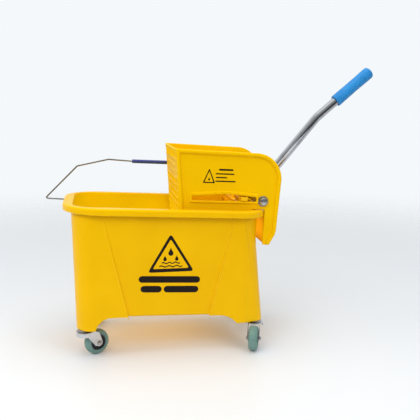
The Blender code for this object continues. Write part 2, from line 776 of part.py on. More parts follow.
def build_lever(tube_coat, grip_coat, zinc_coat, parent):
    lower = lever_direction(LEVER_ANGLE)
    upper = lever_direction(LEVER_BEND_ANGLE)
    bend = lower * LEVER_BEND
    tip = bend + upper * (LEVER_UPPER - 0.010)
    path = filleted_path([lower * LEVER_START, bend, tip], LEVER_BEND_RADIUS, 4)
    bm = bmesh.new()
    outer = sweep_rings(path, TUBE_RADIUS, 16, (0, 1, 0))
    inner = sweep_rings(path, TUBE_BORE, 16, (0, 1, 0))
    loft(bm, outer + inner[::-1], closed=True)
    tube = make_object("handle_tube", bm)
    combine(tube, socket_bolt_hole())
    dress(tube, tube_coat, parent)

    start = LEVER_UPPER - GRIP_LENGTH
    place = along_lever(LEVER_BEND_ANGLE, bend)
    end = LEVER_UPPER
    profile = ((GRIP_BORE, start), (GRIP_RADIUS * 0.95, start), (GRIP_RADIUS, start + 0.003),
               (GRIP_RADIUS * 0.96, end - 0.030), (GRIP_RADIUS * 0.98, end - 0.008),
               (GRIP_RADIUS * 0.80, end - 0.0022), (GRIP_RADIUS * 0.40, end))
    bm = bmesh.new()
    rings = [circle_ring(radius, 20, along, place) for radius, along in profile]
    bore_end = circle_ring(GRIP_BORE, 20, end - 0.0095, place)
    loft(bm, [bore_end] + rings)
    dress(make_object("handle_grip", bm), grip_coat, parent)

    face = SOCKET_RADIUS + GAP
    bolt_place = Matrix.Translation((socket_bolt_centre()[0], 0, socket_bolt_centre()[1])) @ ALONG_Y
    profile = ((0.0055, -face - 0.004), (0.0055, -face), (0.0030, -face),
               (0.0030, face), (0.0055, face), (0.0055, face + 0.004))
    dress(lathe("handle_bolt", profile, 12, bolt_place, closed=False), zinc_coat, parent)


def build_crank_pins(coat, parent):
    """Two headed pins, one on each arm, that run in the press plate's cam slots."""
    spot = cam_point(0)
    place = Matrix.Translation((spot[0], 0, spot[1])) @ ALONG_Y
    for side, name in SIDES:
        profile = ((0.0062, side * 0.0548), (0.0062, side * 0.0576), (CRANK_PIN, side * 0.0576),
                   (CRANK_PIN, side * (ARM_INNER - GAP)))
        dress(lathe("crank_pin_" + name, profile, 12, place, closed=False), coat, parent)


def build_pivot(coat, parent):
    """The rod through both cheeks, with a washer and a domed nut at each end."""
    end = CHEEK_OUTER + 0.0028
    dress(rod_y("pivot_rod", ROD_RADIUS, -end, end, 16), coat, parent)
    for side, name in SIDES:
        face = CHEEK_OUTER + GAP
        ring = ((ROD_HOLE, side * face), (WASHER_RADIUS, side * face),
                (WASHER_RADIUS, side * (face + 0.0016)), (ROD_HOLE, side * (face + 0.0016)))
        dress(lathe("pivot_washer_" + name, ring, 20, ALONG_Y), coat, parent)
        base = end + GAP
        dome = ((NUT_RADIUS, side * base), (NUT_RADIUS, side * (base + 0.0025)),
                (NUT_RADIUS * 0.86, side * (base + 0.0048)), (NUT_RADIUS * 0.50, side * (base + 0.0067)),
                (NUT_RADIUS * 0.15, side * (base + 0.0072)))
        dress(lathe("pivot_nut_" + name, dome, 16, ALONG_Y, closed=False), coat, parent)


# ---- The whole object ---------------------------------------------------------------------
def main():
    clear_scene()
    yellow = finish_material("yellow_plastic", (0.87, 0.52, 0.005), 0.35)
    coats = {
        "zinc": finish_material("zinc_steel", (0.62, 0.62, 0.60), 0.35, 1.0),
        "chrome": finish_material("bright_steel", (0.78, 0.78, 0.78), 0.18, 1.0),
        "black": finish_material("black_plastic", (0.02, 0.02, 0.02), 0.5),
        "tyre": finish_material("grey_rubber", (0.22, 0.36, 0.33), 0.6),
    }
    blue = finish_material("blue_vinyl", (0.01, 0.20, 0.68), 0.45)
    navy = finish_material("navy_plastic", (0.03, 0.04, 0.22), 0.4)

    centre = make_empty("bucket_centre", None, (ORIGIN_SHIFT_X, ORIGIN_SHIFT_Y, 0))
    build_bucket(yellow, centre)
    for name, x, y, angle in CASTERS:
        build_caster(name, x, y, angle, coats, centre)
    bail_axis = make_empty("bail_axis", centre, (0, BAIL_AXIS_Y, BAIL_AXIS_Z), (0, WRINGER_TILT, 0))
    bail_frame = make_empty("bail_frame", bail_axis, (0, 0, 0), (BAIL_LEAN, 0, 0))
    build_bail(coats["zinc"], navy, bail_frame)
    pivot = make_empty("lever_pivot", centre, (PIVOT_X, 0, PIVOT_Z), (0, WRINGER_TILT, 0))
    build_housing(yellow, pivot)
    build_press(yellow, pivot)
    build_pivot(coats["zinc"], pivot)
    build_yoke(coats["zinc"], pivot)
    build_crank_pins(coats["zinc"], pivot)
    build_lever(coats["chrome"], blue, coats["zinc"], pivot)


main()
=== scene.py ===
import json
import math

import bmesh
import bpy
from mathutils import Matrix, Vector
from mathutils.bvhtree import BVHTree

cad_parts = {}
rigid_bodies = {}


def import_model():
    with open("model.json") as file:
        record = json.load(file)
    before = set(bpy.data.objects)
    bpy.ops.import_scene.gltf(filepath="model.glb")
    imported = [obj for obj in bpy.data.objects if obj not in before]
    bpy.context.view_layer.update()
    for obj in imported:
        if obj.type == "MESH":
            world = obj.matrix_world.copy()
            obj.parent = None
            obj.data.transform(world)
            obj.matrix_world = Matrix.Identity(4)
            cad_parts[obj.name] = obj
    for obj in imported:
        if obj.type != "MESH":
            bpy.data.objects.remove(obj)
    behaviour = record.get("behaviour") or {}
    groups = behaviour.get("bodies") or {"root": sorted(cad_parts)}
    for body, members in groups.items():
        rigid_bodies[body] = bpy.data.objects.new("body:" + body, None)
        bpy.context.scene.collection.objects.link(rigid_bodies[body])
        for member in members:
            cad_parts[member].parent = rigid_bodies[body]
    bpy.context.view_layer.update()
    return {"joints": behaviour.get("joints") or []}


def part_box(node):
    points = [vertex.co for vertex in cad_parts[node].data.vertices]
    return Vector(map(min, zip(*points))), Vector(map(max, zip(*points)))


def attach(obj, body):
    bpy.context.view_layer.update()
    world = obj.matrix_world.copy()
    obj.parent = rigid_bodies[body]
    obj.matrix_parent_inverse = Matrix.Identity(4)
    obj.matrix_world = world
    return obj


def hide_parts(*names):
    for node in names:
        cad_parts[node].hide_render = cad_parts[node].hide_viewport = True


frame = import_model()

# ---- Places, all read from the frame ----
JOINTS = {joint["name"]: joint for joint in frame["joints"]}
BUCKET_LOW, BUCKET_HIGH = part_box("bucket")
PIVOT = Vector(JOINTS["lever_hinge"]["pos_m"])
PRESS_AXIS = Vector(JOINTS["press_slide"]["axis"])
TILT = math.atan2(PRESS_AXIS.z, -PRESS_AXIS.x)
SLOPE = math.tan(TILT)
SIDES = ((-1, "near"), (1, "far"))
CASTER_NAMES = ("front_near", "rear_near", "front_far", "rear_far")

BUCKET = Matrix.Translation(((BUCKET_LOW.x + BUCKET_HIGH.x) / 2, (BUCKET_LOW.y + BUCKET_HIGH.y) / 2, 0))
WRINGER = Matrix.Translation(PIVOT) @ Matrix.Rotation(TILT, 4, "Y")
BAIL_LEAN = math.radians(3.5)
BAIL = (Matrix.Translation(Vector(JOINTS["bail_hinge"]["pos_m"]))
        @ Matrix.Rotation(TILT, 4, "Y") @ Matrix.Rotation(BAIL_LEAN, 4, "X"))
ALONG_Y = Matrix.Rotation(math.radians(-90), 4, "X")
ALONG_X = Matrix.Rotation(math.radians(90), 4, "Y")

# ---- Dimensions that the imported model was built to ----
RIM_HALF_LENGTH = (BUCKET_HIGH.x - BUCKET_LOW.x) / 2
RIM_HALF_WIDTH = (BUCKET_HIGH.y - BUCKET_LOW.y) / 2
RIM_SOFT = 0.0025
RIM_MID_HEIGHT = BUCKET_HIGH.z - SLOPE * (RIM_HALF_LENGTH - RIM_SOFT)
RIM_CORNER = 0.065
RIM_FRONT_CORNER = 0.086
RIM_DEPTH = 0.016
FLANGE_SKIN = 0.003
SKIN = 0.004
TUB_FOOT = (-0.1970, 0.1990, 0.1080, 0.036)
TUB_BEND = (-0.2030, 0.2050, 0.1140, 0.042)
TUB_WAIST = (-0.2085, 0.2124, 0.1170, 0.046)
TUB_NECK = (-0.2145, 0.2183, 0.1200, 0.050)
BEND_RISE = 0.006
WAIST_HEIGHT = 0.216
TUB_BOTTOM = 0.0900
BASE_SLOPE = 0.0325
ARCH_RISE = 0.0025
END_ARCH_RISE = 0.0015
FLOOR_RISE = 0.0070
LEG_BOTTOM = BUCKET_LOW.z
LEG_TOP = 0.330
LEG_SIDE = 0.1195
EAR_X = 0.1800
SOCKET_RADIUS_LEG = 0.0083
SOCKET_TOP = 0.091

HOUSING_VOXEL = 0.00095
CHEEK_INNER = 0.0970
CHEEK_OUTER = 0.1000
CHEEK_EDGE = 0.1060
BORDER_WIDTH = 0.0090
POST_WIDTH = 0.0085
CHEEK_TOP = 0.1115
FRONT_TOP = 0.1145
CHEEK_FRONT_TOP = -0.2100
FRONT_SLOPE = 0.1057
CORNER_RADIUS = 0.0610
CHEEK_BACK = 0.0400
SKIRT_BACK = 0.0346
SKIRT_KNEE = -0.0785
SKIRT_TOE = 0.0200
SKIRT_BOTTOM = -0.1040
SADDLE_FRONT = -0.0240
SADDLE_BACK = 0.0052
SADDLE_TOP = -0.0197
BASKET_BOTTOM = -0.1150
BASKET_FLOOR = -0.1110
FRONT_SHEET = 0.0040
SLOT_FRONT = -0.1685
SLOT_BACK = -0.0165
SLOT_LOW = -0.0015
SLOT_HIGH = 0.0095
SLOT_CROWN = 0.0050             # the slot's upper edge is arched by this much
ROD_HOLE = 0.0065
ROD_RADIUS = 0.0060

CRANK_RADIUS = 0.100
CRANK_REST = math.radians(75.0)
LEVER_SWING = math.radians(JOINTS["lever_hinge"]["range_deg"][1])
PRESS_RATE = JOINTS["press_slide"]["range_m"][1] / LEVER_SWING
PLATE_FRONT = -0.0560
PLATE_BACK = -0.0520
PLATE_HALF_WIDTH = 0.0945
PLATE_BOTTOM = -0.1085
PLATE_TOP = 0.0800
SHOE_FRONT = -0.0530
SHOE_BACK = -0.0370
PRESS_VOXEL = 0.0010
PRESS_PITCH = 0.0130           # of the plate's ribs, and of the holes between them
ARM_INNER = 0.0670
ARM_OUTER = 0.0730

LEVER_ANGLE = math.radians(50.05) + TILT
LEVER_BEND_ANGLE = math.radians(40.1) + TILT
LEVER_BEND = 0.2497
LEVER_UPPER = 0.1794
LEVER_BEND_RADIUS = 0.085
TUBE_RADIUS = 0.0110
TUBE_BORE = 0.0095
GRIP_LENGTH = 0.117
GRIP_RADIUS = 0.0152
GRIP_BORE = 0.0114
SOCKET_RADIUS = 0.0142
SOCKET_BORE = 0.0114

WHEEL_RADIUS = 0.0295
TRAIL = 0.0290
HUB_RADIUS = 0.0185
FORK_INNER = 0.0125
FORK_SHEET = 0.0020
CROWN_TOP = 0.0624


# ---- Mesh tools ----
def to_object(name, bm, smooth_angle=35.0):
    bmesh.ops.recalc_face_normals(bm, faces=bm.faces)
    mesh = bpy.data.meshes.new(name)
    bm.to_mesh(mesh)
    bm.free()
    mesh.shade_smooth()
    mesh.set_sharp_from_angle(angle=math.radians(smooth_angle))
    made = bpy.data.objects.new(name, mesh)
    bpy.context.scene.collection.objects.link(made)
    return made


def bake(piece):
    """Apply a piece's modifiers."""
    bpy.context.view_layer.update()
    graph = bpy.context.evaluated_depsgraph_get()
    mesh = bpy.data.meshes.new_from_object(piece.evaluated_get(graph))
    piece.modifiers.clear()
    piece.data = mesh
    return piece


def combine(target, tool, operation="DIFFERENCE"):
    """Cut tool from target, or join it on, and remove tool."""
    step = target.modifiers.new(operation.lower(), "BOOLEAN")
    step.operation = operation
    step.solver = "EXACT"
    step.object = tool
    bake(target)
    bpy.data.objects.remove(tool, do_unlink=True)
    return target


def join(target, *tools):
    """Add the tools' faces to target's mesh; a remesh afterwards melts them into one skin."""
    bm = bmesh.new()
    bm.from_mesh(target.data)
    for tool in tools:
        bm.from_mesh(tool.data)
        bpy.data.objects.remove(tool, do_unlink=True)
    bm.to_mesh(target.data)
    bm.free()
    return target


def span_y(side, inner, outer):
    """The span of Y between two distances from the middle plane, on one side of it."""
    return sorted((side * inner, side * outer))


def melted(piece, voxel):
    """Turn joined solids into one skin, sampled at the given size."""
    remesh = piece.modifiers.new("remesh", "REMESH")
    remesh.mode = "VOXEL"
    remesh.voxel_size = voxel
    return bake(piece)


def shaded(piece, weight, keep_sharp):
    """Smooth shading that leaves flat faces looking flat."""
    piece.data.shade_smooth()
    weigh = piece.modifiers.new("weigh", "WEIGHTED_NORMAL")
    weigh.weight = weight
    weigh.keep_sharp = keep_sharp
    return bake(piece)


def moulded(piece, voxel, passes, faces):
    """Turn sharp, joined solids into one soft-edged moulding of about the given number of faces."""
    melted(piece, voxel)
    soften = piece.modifiers.new("soften", "SMOOTH")
    soften.factor = 0.5
    soften.iterations = passes
    bake(piece)
    count = 2 * len(piece.data.polygons)
    if count > faces:
        thin = piece.modifiers.new("thin", "DECIMATE")
        thin.ratio = faces / count
        bake(piece)
    return shaded(piece, 60, False)


def softened(piece, width, segments=2):
    """Round every sharp edge of a hard piece."""
    bevel = piece.modifiers.new("bevel", "BEVEL")
    bevel.width = width
    bevel.segments = segments
    bevel.limit_method = "ANGLE"
    bevel.angle_limit = math.radians(32.0)
    bevel.use_clamp_overlap = True
    bake(piece)
    return shaded(piece, 50, True)


def skin(name, rings, closed=False, smooth_angle=35.0):
    """A skin over equal rings of points; its ends are capped unless it closes on itself."""
    bm = bmesh.new()
    rows = [[bm.verts.new(point) for point in points] for points in rings]
    pairs = list(zip(rows, rows[1:]))
    if closed:
        pairs.append((rows[-1], rows[0]))
    for low, high in pairs:
        for i in range(len(low)):
            j = (i + 1) % len(low)
            bm.faces.new((low[i], low[j], high[j], high[i]))
    if not closed:
        bm.faces.new(rows[0])
        bm.faces.new(rows[-1])
    return to_object(name, bm, smooth_angle)


def arc(centre, radius, start, end, steps):
    """Points on an arc, both ends included; angles in degrees."""
    points = []
    for i in range(steps + 1):
        angle = math.radians(start + (end - start) * i / steps)
        points.append((centre[0] + radius * math.cos(angle), centre[1] + radius * math.sin(angle)))
    return points


def prism_xz(name, outline, low_y, high_y):
    """A solid whose side view is outline."""
    return skin(name, [[(x, y, z) for x, z in outline] for y in (low_y, high_y)])


def prism_xy(name, outline, low_z, high_z):
    """A solid whose plan is outline."""
    return skin(name, [[(x, y, z) for x, y in outline] for z in (low_z, high_z)])


def block(name, low, high):
    outline = ((low[0], low[2]), (high[0], low[2]), (high[0], high[2]), (low[0], high[2]))
    return prism_xz(name, outline, low[1], high[1])


def circle_ring(radius, sides, along, turn):
    ring = []
    for i in range(sides):
        angle = 2 * math.pi * i / sides
        ring.append(turn @ Vector((radius * math.cos(angle), radius * math.sin(angle), along)))
    return ring


def lathe(name, profile, sides, turn=Matrix(), closed=True, smooth_angle=35.0):
    """Turn a profile of (radius, distance along the axis) pairs about local Z, then apply turn."""
    rings = [circle_ring(radius, sides, along, turn) for radius, along in profile]
    return skin(name, rings, closed, smooth_angle)


def rod_y(name, radius, low_y, high_y, sides=40, centre=(0, 0)):
    spot = Matrix.Translation((centre[0], 0, centre[1])) @ ALONG_Y
    return lathe(name, ((radius, low_y), (radius, high_y)), sides, spot, closed=False)


def hexagon_y(name, across, low_y, high_y):
    """A hexagonal prism along Y, across its flats."""
    return rod_y(name, across / 2 / math.cos(math.radians(30)), low_y, high_y, 6)


def rounded_corner(before, corner, after, reach, steps):
    """Points on a curve that takes up a corner; reach gives its length from the angle between the sides."""
    back = (before - corner).normalized()
    ahead = (after - corner).normalized()
    length = reach(back.angle(ahead))
    start = corner + back * length
    end = corner + ahead * length
    shares = [i / steps for i in range(steps + 1)]
    return [start * (1 - t) ** 2 + corner * 2 * t * (1 - t) + end * t ** 2 for t in shares]


def filleted(points, radius, steps):
    """Replace each inner corner of a path by a curve of about the given radius."""
    points = [Vector(point) for point in points]
    path = points[:1]
    for corner in zip(points, points[1:], points[2:]):
        path += rounded_corner(*corner, lambda angle: radius * math.tan((math.pi - angle) / 2), steps)
    return path + points[-1:]


def sweep_rings(path, radius, sides):
    """Rings of points across a path in the XZ plane."""
    rings = []
    side = Vector((0, 1, 0))
    for i, point in enumerate(path):
        heading = (path[min(i + 1, len(path) - 1)] - path[max(i - 1, 0)]).normalized()
        up = side.cross(heading)
        ring = []
        for k in range(sides):
            angle = 2 * math.pi * k / sides
            ring.append(point + side * radius * math.cos(angle) + up * radius * math.sin(angle))
        rings.append(ring)
    return rings


def mirrored(piece, name):
    """A copy of a piece on the other side of the middle plane."""
    bm = bmesh.new()
    bm.from_mesh(piece.data)
    bmesh.ops.scale(bm, vec=(1, -1, 1), verts=bm.verts)
    return to_object(name, bm)


def place(piece, matrix, body, coat, *nodes):
    """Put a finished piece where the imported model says, on its body, in its coat."""
    slot, material = COATS[coat]
    piece.data.transform(matrix)
    piece.data.materials.clear()
    piece.data.materials.append(material)
    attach(piece, body)
    if nodes:
        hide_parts(*nodes)
    return piece


# ---- Materials ----
class Nodes:
    """A short way to write the node tree of a material or a world."""

    def __init__(self, owner):
        owner.use_nodes = True
        self.tree = owner.node_tree

    def add(self, kind, **values):
        node = self.tree.nodes.new(kind)
        for key, value in values.items():
            setattr(node, key, value)
        return node

    def link(self, output, socket):
        self.tree.links.new(output, socket)

    def span(self, source, low, high, to_low=0.0, to_high=1.0):
        """Map source from low..high to to_low..to_high, held at the ends."""
        node = self.add("ShaderNodeMapRange", clamp=True)
        values = {"From Min": low, "From Max": high, "To Min": to_low, "To Max": to_high}
        for socket, value in values.items():
            node.inputs[socket].default_value = value
        self.link(source, node.inputs["Value"])
        return node.outputs["Result"]


class Coat(Nodes):
    """A material that is painted in the piece's own frame."""

    def __init__(self, name):
        self.material = bpy.data.materials.new(name)
        super().__init__(self.material)
        self.shader = self.tree.nodes["Principled BSDF"]
        self.place = self.add("ShaderNodeTexCoord").outputs["Object"]

    def cells(self, scale):
        node = self.add("ShaderNodeTexVoronoi")
        node.inputs["Scale"].default_value = scale
        self.link(self.place, node.inputs["Vector"])
        return node.outputs["Distance"]

    def noise(self, scale, detail=3.0, stretch=None, roughness=0.5):
        node = self.add("ShaderNodeTexNoise")
        node.inputs["Scale"].default_value = scale
        node.inputs["Detail"].default_value = detail
        node.inputs["Roughness"].default_value = roughness
        source = self.place
        if stretch is not None:
            mapping = self.add("ShaderNodeMapping")
            mapping.inputs["Scale"].default_value = stretch
            mapping.inputs["Rotation"].default_value = (0.4, 0.7, 0.3)
            self.link(self.place, mapping.inputs["Vector"])
            source = mapping.outputs["Vector"]
        self.link(source, node.inputs["Vector"])
        return node.outputs["Fac"]

    def product(self, first, second):
        node = self.add("ShaderNodeMath", operation="MULTIPLY")
        self.link(first, node.inputs[0])
        self.link(second, node.inputs[1])
        return node.outputs[0]

    def mix(self, factor, first, second):
        """Blend two colours; each is a colour or another node's output."""
        node = self.add("ShaderNodeMix", data_type="RGBA")
        self.link(factor, node.inputs[0])
        for socket, colour in ((node.inputs[6], first), (node.inputs[7], second)):
            if isinstance(colour, tuple):
                socket.default_value = (*colour, 1.0)
            else:
                self.link(colour, socket)
        return node.outputs[2]

    def bump(self, height, distance, below=None):
        node = self.add("ShaderNodeBump")
        node.inputs["Strength"].default_value = 1.0
        node.inputs["Distance"].default_value = distance
        self.link(height, node.inputs["Height"])
        if below is not None:
            self.link(below, node.inputs["Normal"])
        return node.outputs["Normal"]

    def edges(self, low, high):
        """How much a point lies on a raised edge, from 0 to 1."""
        return self.span(self.add("ShaderNodeNewGeometry").outputs["Pointiness"], low, high)

    def finish(self, colour, roughness, normal):
        self.link(colour, self.shader.inputs["Base Color"])
        self.link(roughness, self.shader.inputs["Roughness"])
        self.link(normal, self.shader.inputs["Normal"])
        return self.material


def moulded_plastic(name, base, deep, pale, rough, grain=0.00004, gloss=0.5, sheen=(1.0, 1.0, 1.0)):
    """Moulded plastic: slow colour drift, fine grain, dull scuffs, and a painted highlight that makes raised
    edges paler.
    """
    n = Coat(name)
    drift = n.mix(n.span(n.noise(7.0, 2.0), 0.35, 0.65), deep, base)
    scuffs = n.product(n.span(n.noise(60.0, 5.0, (1.0, 9.0, 1.0), 0.7), 0.60, 0.72),
                       n.span(n.noise(5.0, 2.0), 0.45, 0.70))
    # Painted highlight: raised edges are painted paler, broken up by noise.
    painted_edge_highlight = n.product(n.edges(0.515, 0.58), n.span(n.noise(45.0, 4.0), 0.42, 0.60, 0.15, 0.75))
    colour = n.mix(n.span(scuffs, 0.0, 1.0, 0.0, 0.22), drift, pale)
    colour = n.mix(painted_edge_highlight, colour, pale)
    roughness = n.span(n.noise(26.0, 6.0, None, 0.65), 0.30, 0.72, rough - 0.07, rough + 0.10)
    normal = n.bump(n.noise(900.0, 2.0), grain)
    normal = n.bump(n.noise(22.0, 1.0), 0.0006, normal)
    n.shader.inputs["Specular IOR Level"].default_value = gloss
    n.shader.inputs["Specular Tint"].default_value = (*sheen, 1.0)
    return n.finish(colour, roughness, normal)


def bright_metal(name, base, deep, low_rough, high_rough, scratch):
    """Plated steel with smudges and fine scratches."""
    n = Coat(name)
    smudge = n.noise(38.0, 5.0, None, 0.6)
    colour = n.mix(n.span(smudge, 0.48, 0.75), base, deep)
    roughness = n.span(smudge, 0.30, 0.75, low_rough, high_rough)
    normal = n.bump(n.noise(240.0, 4.0, (1.0, 14.0, 1.0)), scratch)
    n.shader.inputs["Metallic"].default_value = 1.0
    return n.finish(colour, roughness, normal)


def zinc_plate(name):
    """Zinc plated steel: a faint spangle, dull, slightly blue."""
    n = Coat(name)
    spangle = n.span(n.cells(420.0), 0.0, 0.7)
    colour = n.mix(spangle, (0.60, 0.61, 0.62), (0.43, 0.44, 0.46))
    roughness = n.span(n.noise(90.0, 4.0), 0.30, 0.70, 0.26, 0.46)
    normal = n.bump(n.noise(600.0, 3.0), 0.00001)
    n.shader.inputs["Metallic"].default_value = 1.0
    return n.finish(colour, roughness, normal)


def tyre_rubber(name):
    """Grey-green rubber, dusty where it runs."""
    n = Coat(name)
    dust = n.span(n.noise(120.0, 6.0, None, 0.7), 0.50, 0.72, 0.0, 0.45)
    drift = n.mix(n.span(n.noise(40.0, 2.0), 0.35, 0.65), (0.120, 0.235, 0.205), (0.175, 0.310, 0.275))
    colour = n.mix(dust, drift, (0.30, 0.35, 0.335))
    roughness = n.span(n.noise(80.0, 4.0), 0.30, 0.70, 0.50, 0.70)
    normal = n.bump(n.noise(1400.0, 3.0), 0.00005)
    return n.finish(colour, roughness, normal)


def dipped_vinyl(name, base, deep, pale):
    """Soft dipped vinyl with a pebbled skin; the raised pebble tops carry a painted highlight."""
    n = Coat(name)
    pebbles = n.cells(520.0)
    # Painted highlight: the raised pebble tops are painted pale.
    colour = n.mix(n.span(pebbles, 0.05, 0.60), pale, base)
    colour = n.mix(n.span(n.noise(30.0, 3.0), 0.45, 0.70, 0.0, 0.6), colour, deep)
    roughness = n.span(n.noise(70.0, 4.0), 0.30, 0.70, 0.34, 0.52)
    normal = n.bump(n.span(pebbles, 0.0, 0.7, 1.0, 0.0), 0.00022)
    return n.finish(colour, roughness, normal)


def print_ink(name, base):
    """Screen-printed ink, worn thin in small specks."""
    n = Coat(name)
    worn = n.span(n.noise(700.0, 4.0, None, 0.7), 0.68, 0.76, 0.0, 0.4)
    colour = n.mix(worn, base, (0.42, 0.25, 0.02))
    roughness = n.span(n.noise(200.0, 3.0), 0.30, 0.70, 0.38, 0.55)
    n.shader.inputs["Specular IOR Level"].default_value = 0.2
    return n.finish(colour, roughness, n.bump(n.noise(1200.0, 2.0), 0.00002))


COATS = {                                       # each listed with a slot name
    "yellow": ("yellow_plastic", moulded_plastic(
        "yellow_moulding", (0.885, 0.505, 0.0006), (0.835, 0.460, 0.0005), (0.940, 0.630, 0.025), 0.33,
        gloss=0.26, sheen=(1.0, 0.84, 0.24))),
    "grained": ("yellow_plastic", moulded_plastic(
        "grained_yellow_moulding", (0.895, 0.525, 0.0006), (0.850, 0.485, 0.0005), (0.940, 0.640, 0.025),
        0.52, gloss=0.10, sheen=(1.0, 0.84, 0.24))),
    "chrome": ("bright_steel", bright_metal(
        "chrome", (0.58, 0.59, 0.61), (0.42, 0.43, 0.46), 0.05, 0.14, 0.000004)),
    "pressed": ("bright_steel", bright_metal(
        "pressed_chrome", (0.66, 0.67, 0.69), (0.45, 0.46, 0.49), 0.10, 0.22, 0.00003)),
    "wire": ("zinc_steel", bright_metal(
        "wire_steel", (0.40, 0.39, 0.37), (0.27, 0.26, 0.25), 0.24, 0.40, 0.00002)),
    "zinc": ("zinc_steel", zinc_plate("zinc")),
    "black": ("black_plastic", moulded_plastic(
        "black_moulding", (0.018, 0.019, 0.021), (0.010, 0.010, 0.012), (0.060, 0.062, 0.066), 0.46,
        0.00005)),
    "tyre": ("grey_rubber", tyre_rubber("tyre_rubber")),
    "blue": ("blue_vinyl", dipped_vinyl(
        "blue_vinyl_skin", (0.006, 0.215, 0.560), (0.004, 0.160, 0.460), (0.050, 0.340, 0.700))),
    "navy": ("navy_plastic", moulded_plastic(
        "navy_moulding", (0.042, 0.060, 0.250), (0.026, 0.038, 0.180), (0.090, 0.110, 0.330), 0.36)),
    "ink": ("black_plastic", print_ink("print_ink", (0.008, 0.004, 0.003))),
}


# ---- Bucket ----
CORNER_STEPS = 14


def ring(front, back, half_width, radius, height, front_radius=None):
    """A rounded rectangle in plan; height is a function of x."""
    bow = radius if front_radius is None else front_radius
    outline = []
    for x, y, bend, start in ((back - radius, half_width - radius, radius, 0),
                              (front + bow, half_width - bow, bow, 90),
                              (front + bow, bow - half_width, bow, 180),
                              (back - radius, radius - half_width, radius, 270)):
        outline += arc((x, y), bend, start, start + 90, CORNER_STEPS)
    return [(x, y, height(x)) for x, y in outline]


def level(z):
    return lambda x: z


def below_rim(drop):
    return lambda x: RIM_MID_HEIGHT - SLOPE * x - drop


def above_base(rise):
    return lambda x: TUB_BOTTOM - BASE_SLOPE * x + rise


def rim_ring(inset, drop):
    return ring(-RIM_HALF_LENGTH + inset, RIM_HALF_LENGTH - inset, RIM_HALF_WIDTH - inset,
                RIM_CORNER - inset, below_rim(drop), RIM_FRONT_CORNER - inset)


def tub_ring(plan, height, inset=0.0):
    """One outline of the tub; inset by the wall's thickness it is an outline of the space inside."""
    front, back, half_width, corner = plan
    return ring(front + inset, back - inset, half_width - inset, corner - inset, height)


def tub_outside():
    rings = [
        tub_ring(TUB_FOOT, above_base(0)),
        tub_ring(TUB_BEND, above_base(BEND_RISE)),
        tub_ring(TUB_WAIST, level(WAIST_HEIGHT)),
        tub_ring(TUB_NECK, below_rim(FLANGE_SKIN)),
        rim_ring(FLANGE_SKIN, FLANGE_SKIN),
        rim_ring(FLANGE_SKIN, RIM_DEPTH),
        rim_ring(0, RIM_DEPTH),
        rim_ring(0, 0.0040),
        rim_ring(0.0009, 0.0016),
        rim_ring(0.0028, 0.0003),
        rim_ring(0.0050, 0),
    ]
    return skin("bucket_body", rings)


def tub_inside():
    rings = [
        tub_ring(TUB_FOOT, above_base(FLOOR_RISE), SKIN),
        tub_ring(TUB_BEND, above_base(FLOOR_RISE + BEND_RISE + 0.002), SKIN),
        tub_ring(TUB_WAIST, level(WAIST_HEIGHT), SKIN),
        tub_ring(TUB_NECK, below_rim(0.0030), SKIN),
        tub_ring(TUB_NECK, below_rim(-0.010), SKIN / 2),
    ]
    return skin("inside", rings)


def leg(name, low, high, side):
    return skin(name, [[(x, side * y, z) for x, y in outline]
                       for outline, z in ((low, LEG_BOTTOM), (high, LEG_TOP))])


def front_leg(side):
    inset = 0.060
    low = [(-0.2095, inset)] + arc((-0.1695, LEG_SIDE - 0.040), 0.040, 180, 90, CORNER_STEPS)
    high = [(-0.2140, inset)] + arc((-0.1670, LEG_SIDE - 0.047), 0.047, 180, 90, CORNER_STEPS)
    low += [(-0.0857, LEG_SIDE), (-0.0857, inset)]
    high += [(-0.1447, LEG_SIDE), (-0.1447, inset)]
    return leg("front_leg", low, high, side)


def rear_leg(side):
    inset = 0.060
    low = [(0.2290, inset)] + arc((0.2070, 0.0915), 0.022, 0, 72, CORNER_STEPS)
    high = [(0.2080, inset)] + arc((0.1680, 0.0770), 0.040, 0, 72, CORNER_STEPS)
    low += [(0.1800, LEG_SIDE), (0.0905, LEG_SIDE), (0.0905, inset)]
    high += [(0.1755, LEG_SIDE), (0.1550, LEG_SIDE), (0.1550, inset)]
    return leg("rear_leg", low, high, side)


def panel_beads():
    """Fine raised lines where the legs meet the middle panel, on both sides."""
    half = 0.0010
    low_z, high_z = 0.0900, 0.3330
    for low_x, high_x in ((-0.0910, -0.1454), (0.0963, 0.1557)):
        outline = ((low_x - half, low_z), (low_x + half, low_z), (high_x + half, high_z),
                   (high_x - half, high_z))
        for side in (-1, 1):
            yield prism_xz("bead", outline, *span_y(side, LEG_SIDE - 0.0030, LEG_SIDE + 0.0012))


def side_arch():
    """The rounded space between the front and the back legs."""
    roof = above_base(ARCH_RISE)
    front = [(-0.168, 0.050), (-0.1655, 0.0690), (-0.1600, 0.0810), (-0.1500, 0.0905), (-0.1370, 0.0960)]
    back = [(0.1330, 0.0865), (0.1460, 0.0815), (0.1560, 0.0740), (0.1640, 0.0650), (0.1690, 0.050)]
    outline = front + [(-0.122, roof(-0.122)), (0.120, roof(0.120))] + back
    return prism_xz("side_arch", outline, -0.150, 0.150)


def end_arch():
    rings = []
    for x in (-0.260, 0.260):
        roof = above_base(END_ARCH_RISE)(x)
        half = [(0.072, 0.040), (0.069, roof - 0.022), (0.064, roof - 0.008), (0.054, roof)]
        outline = [(-y, z) for y, z in half] + [(y, z) for y, z in reversed(half)]
        rings.append([(x, y, z) for y, z in outline])
    return skin("end_arch", rings)


def floor_ribs():
    """Shallow ribs under the tub, from arch to arch."""
    roof = above_base(ARCH_RISE + 0.001)
    front, back, depth = -0.112, 0.110, 0.0045
    outline = ((front, roof(front)), (front, roof(front) - depth), (back, roof(back) - depth),
               (back, roof(back)))
    for y in (-0.075, -0.045, -0.015, 0.015, 0.045, 0.075):
        yield prism_xz("rib", outline, y - 0.0012, y + 0.0012)


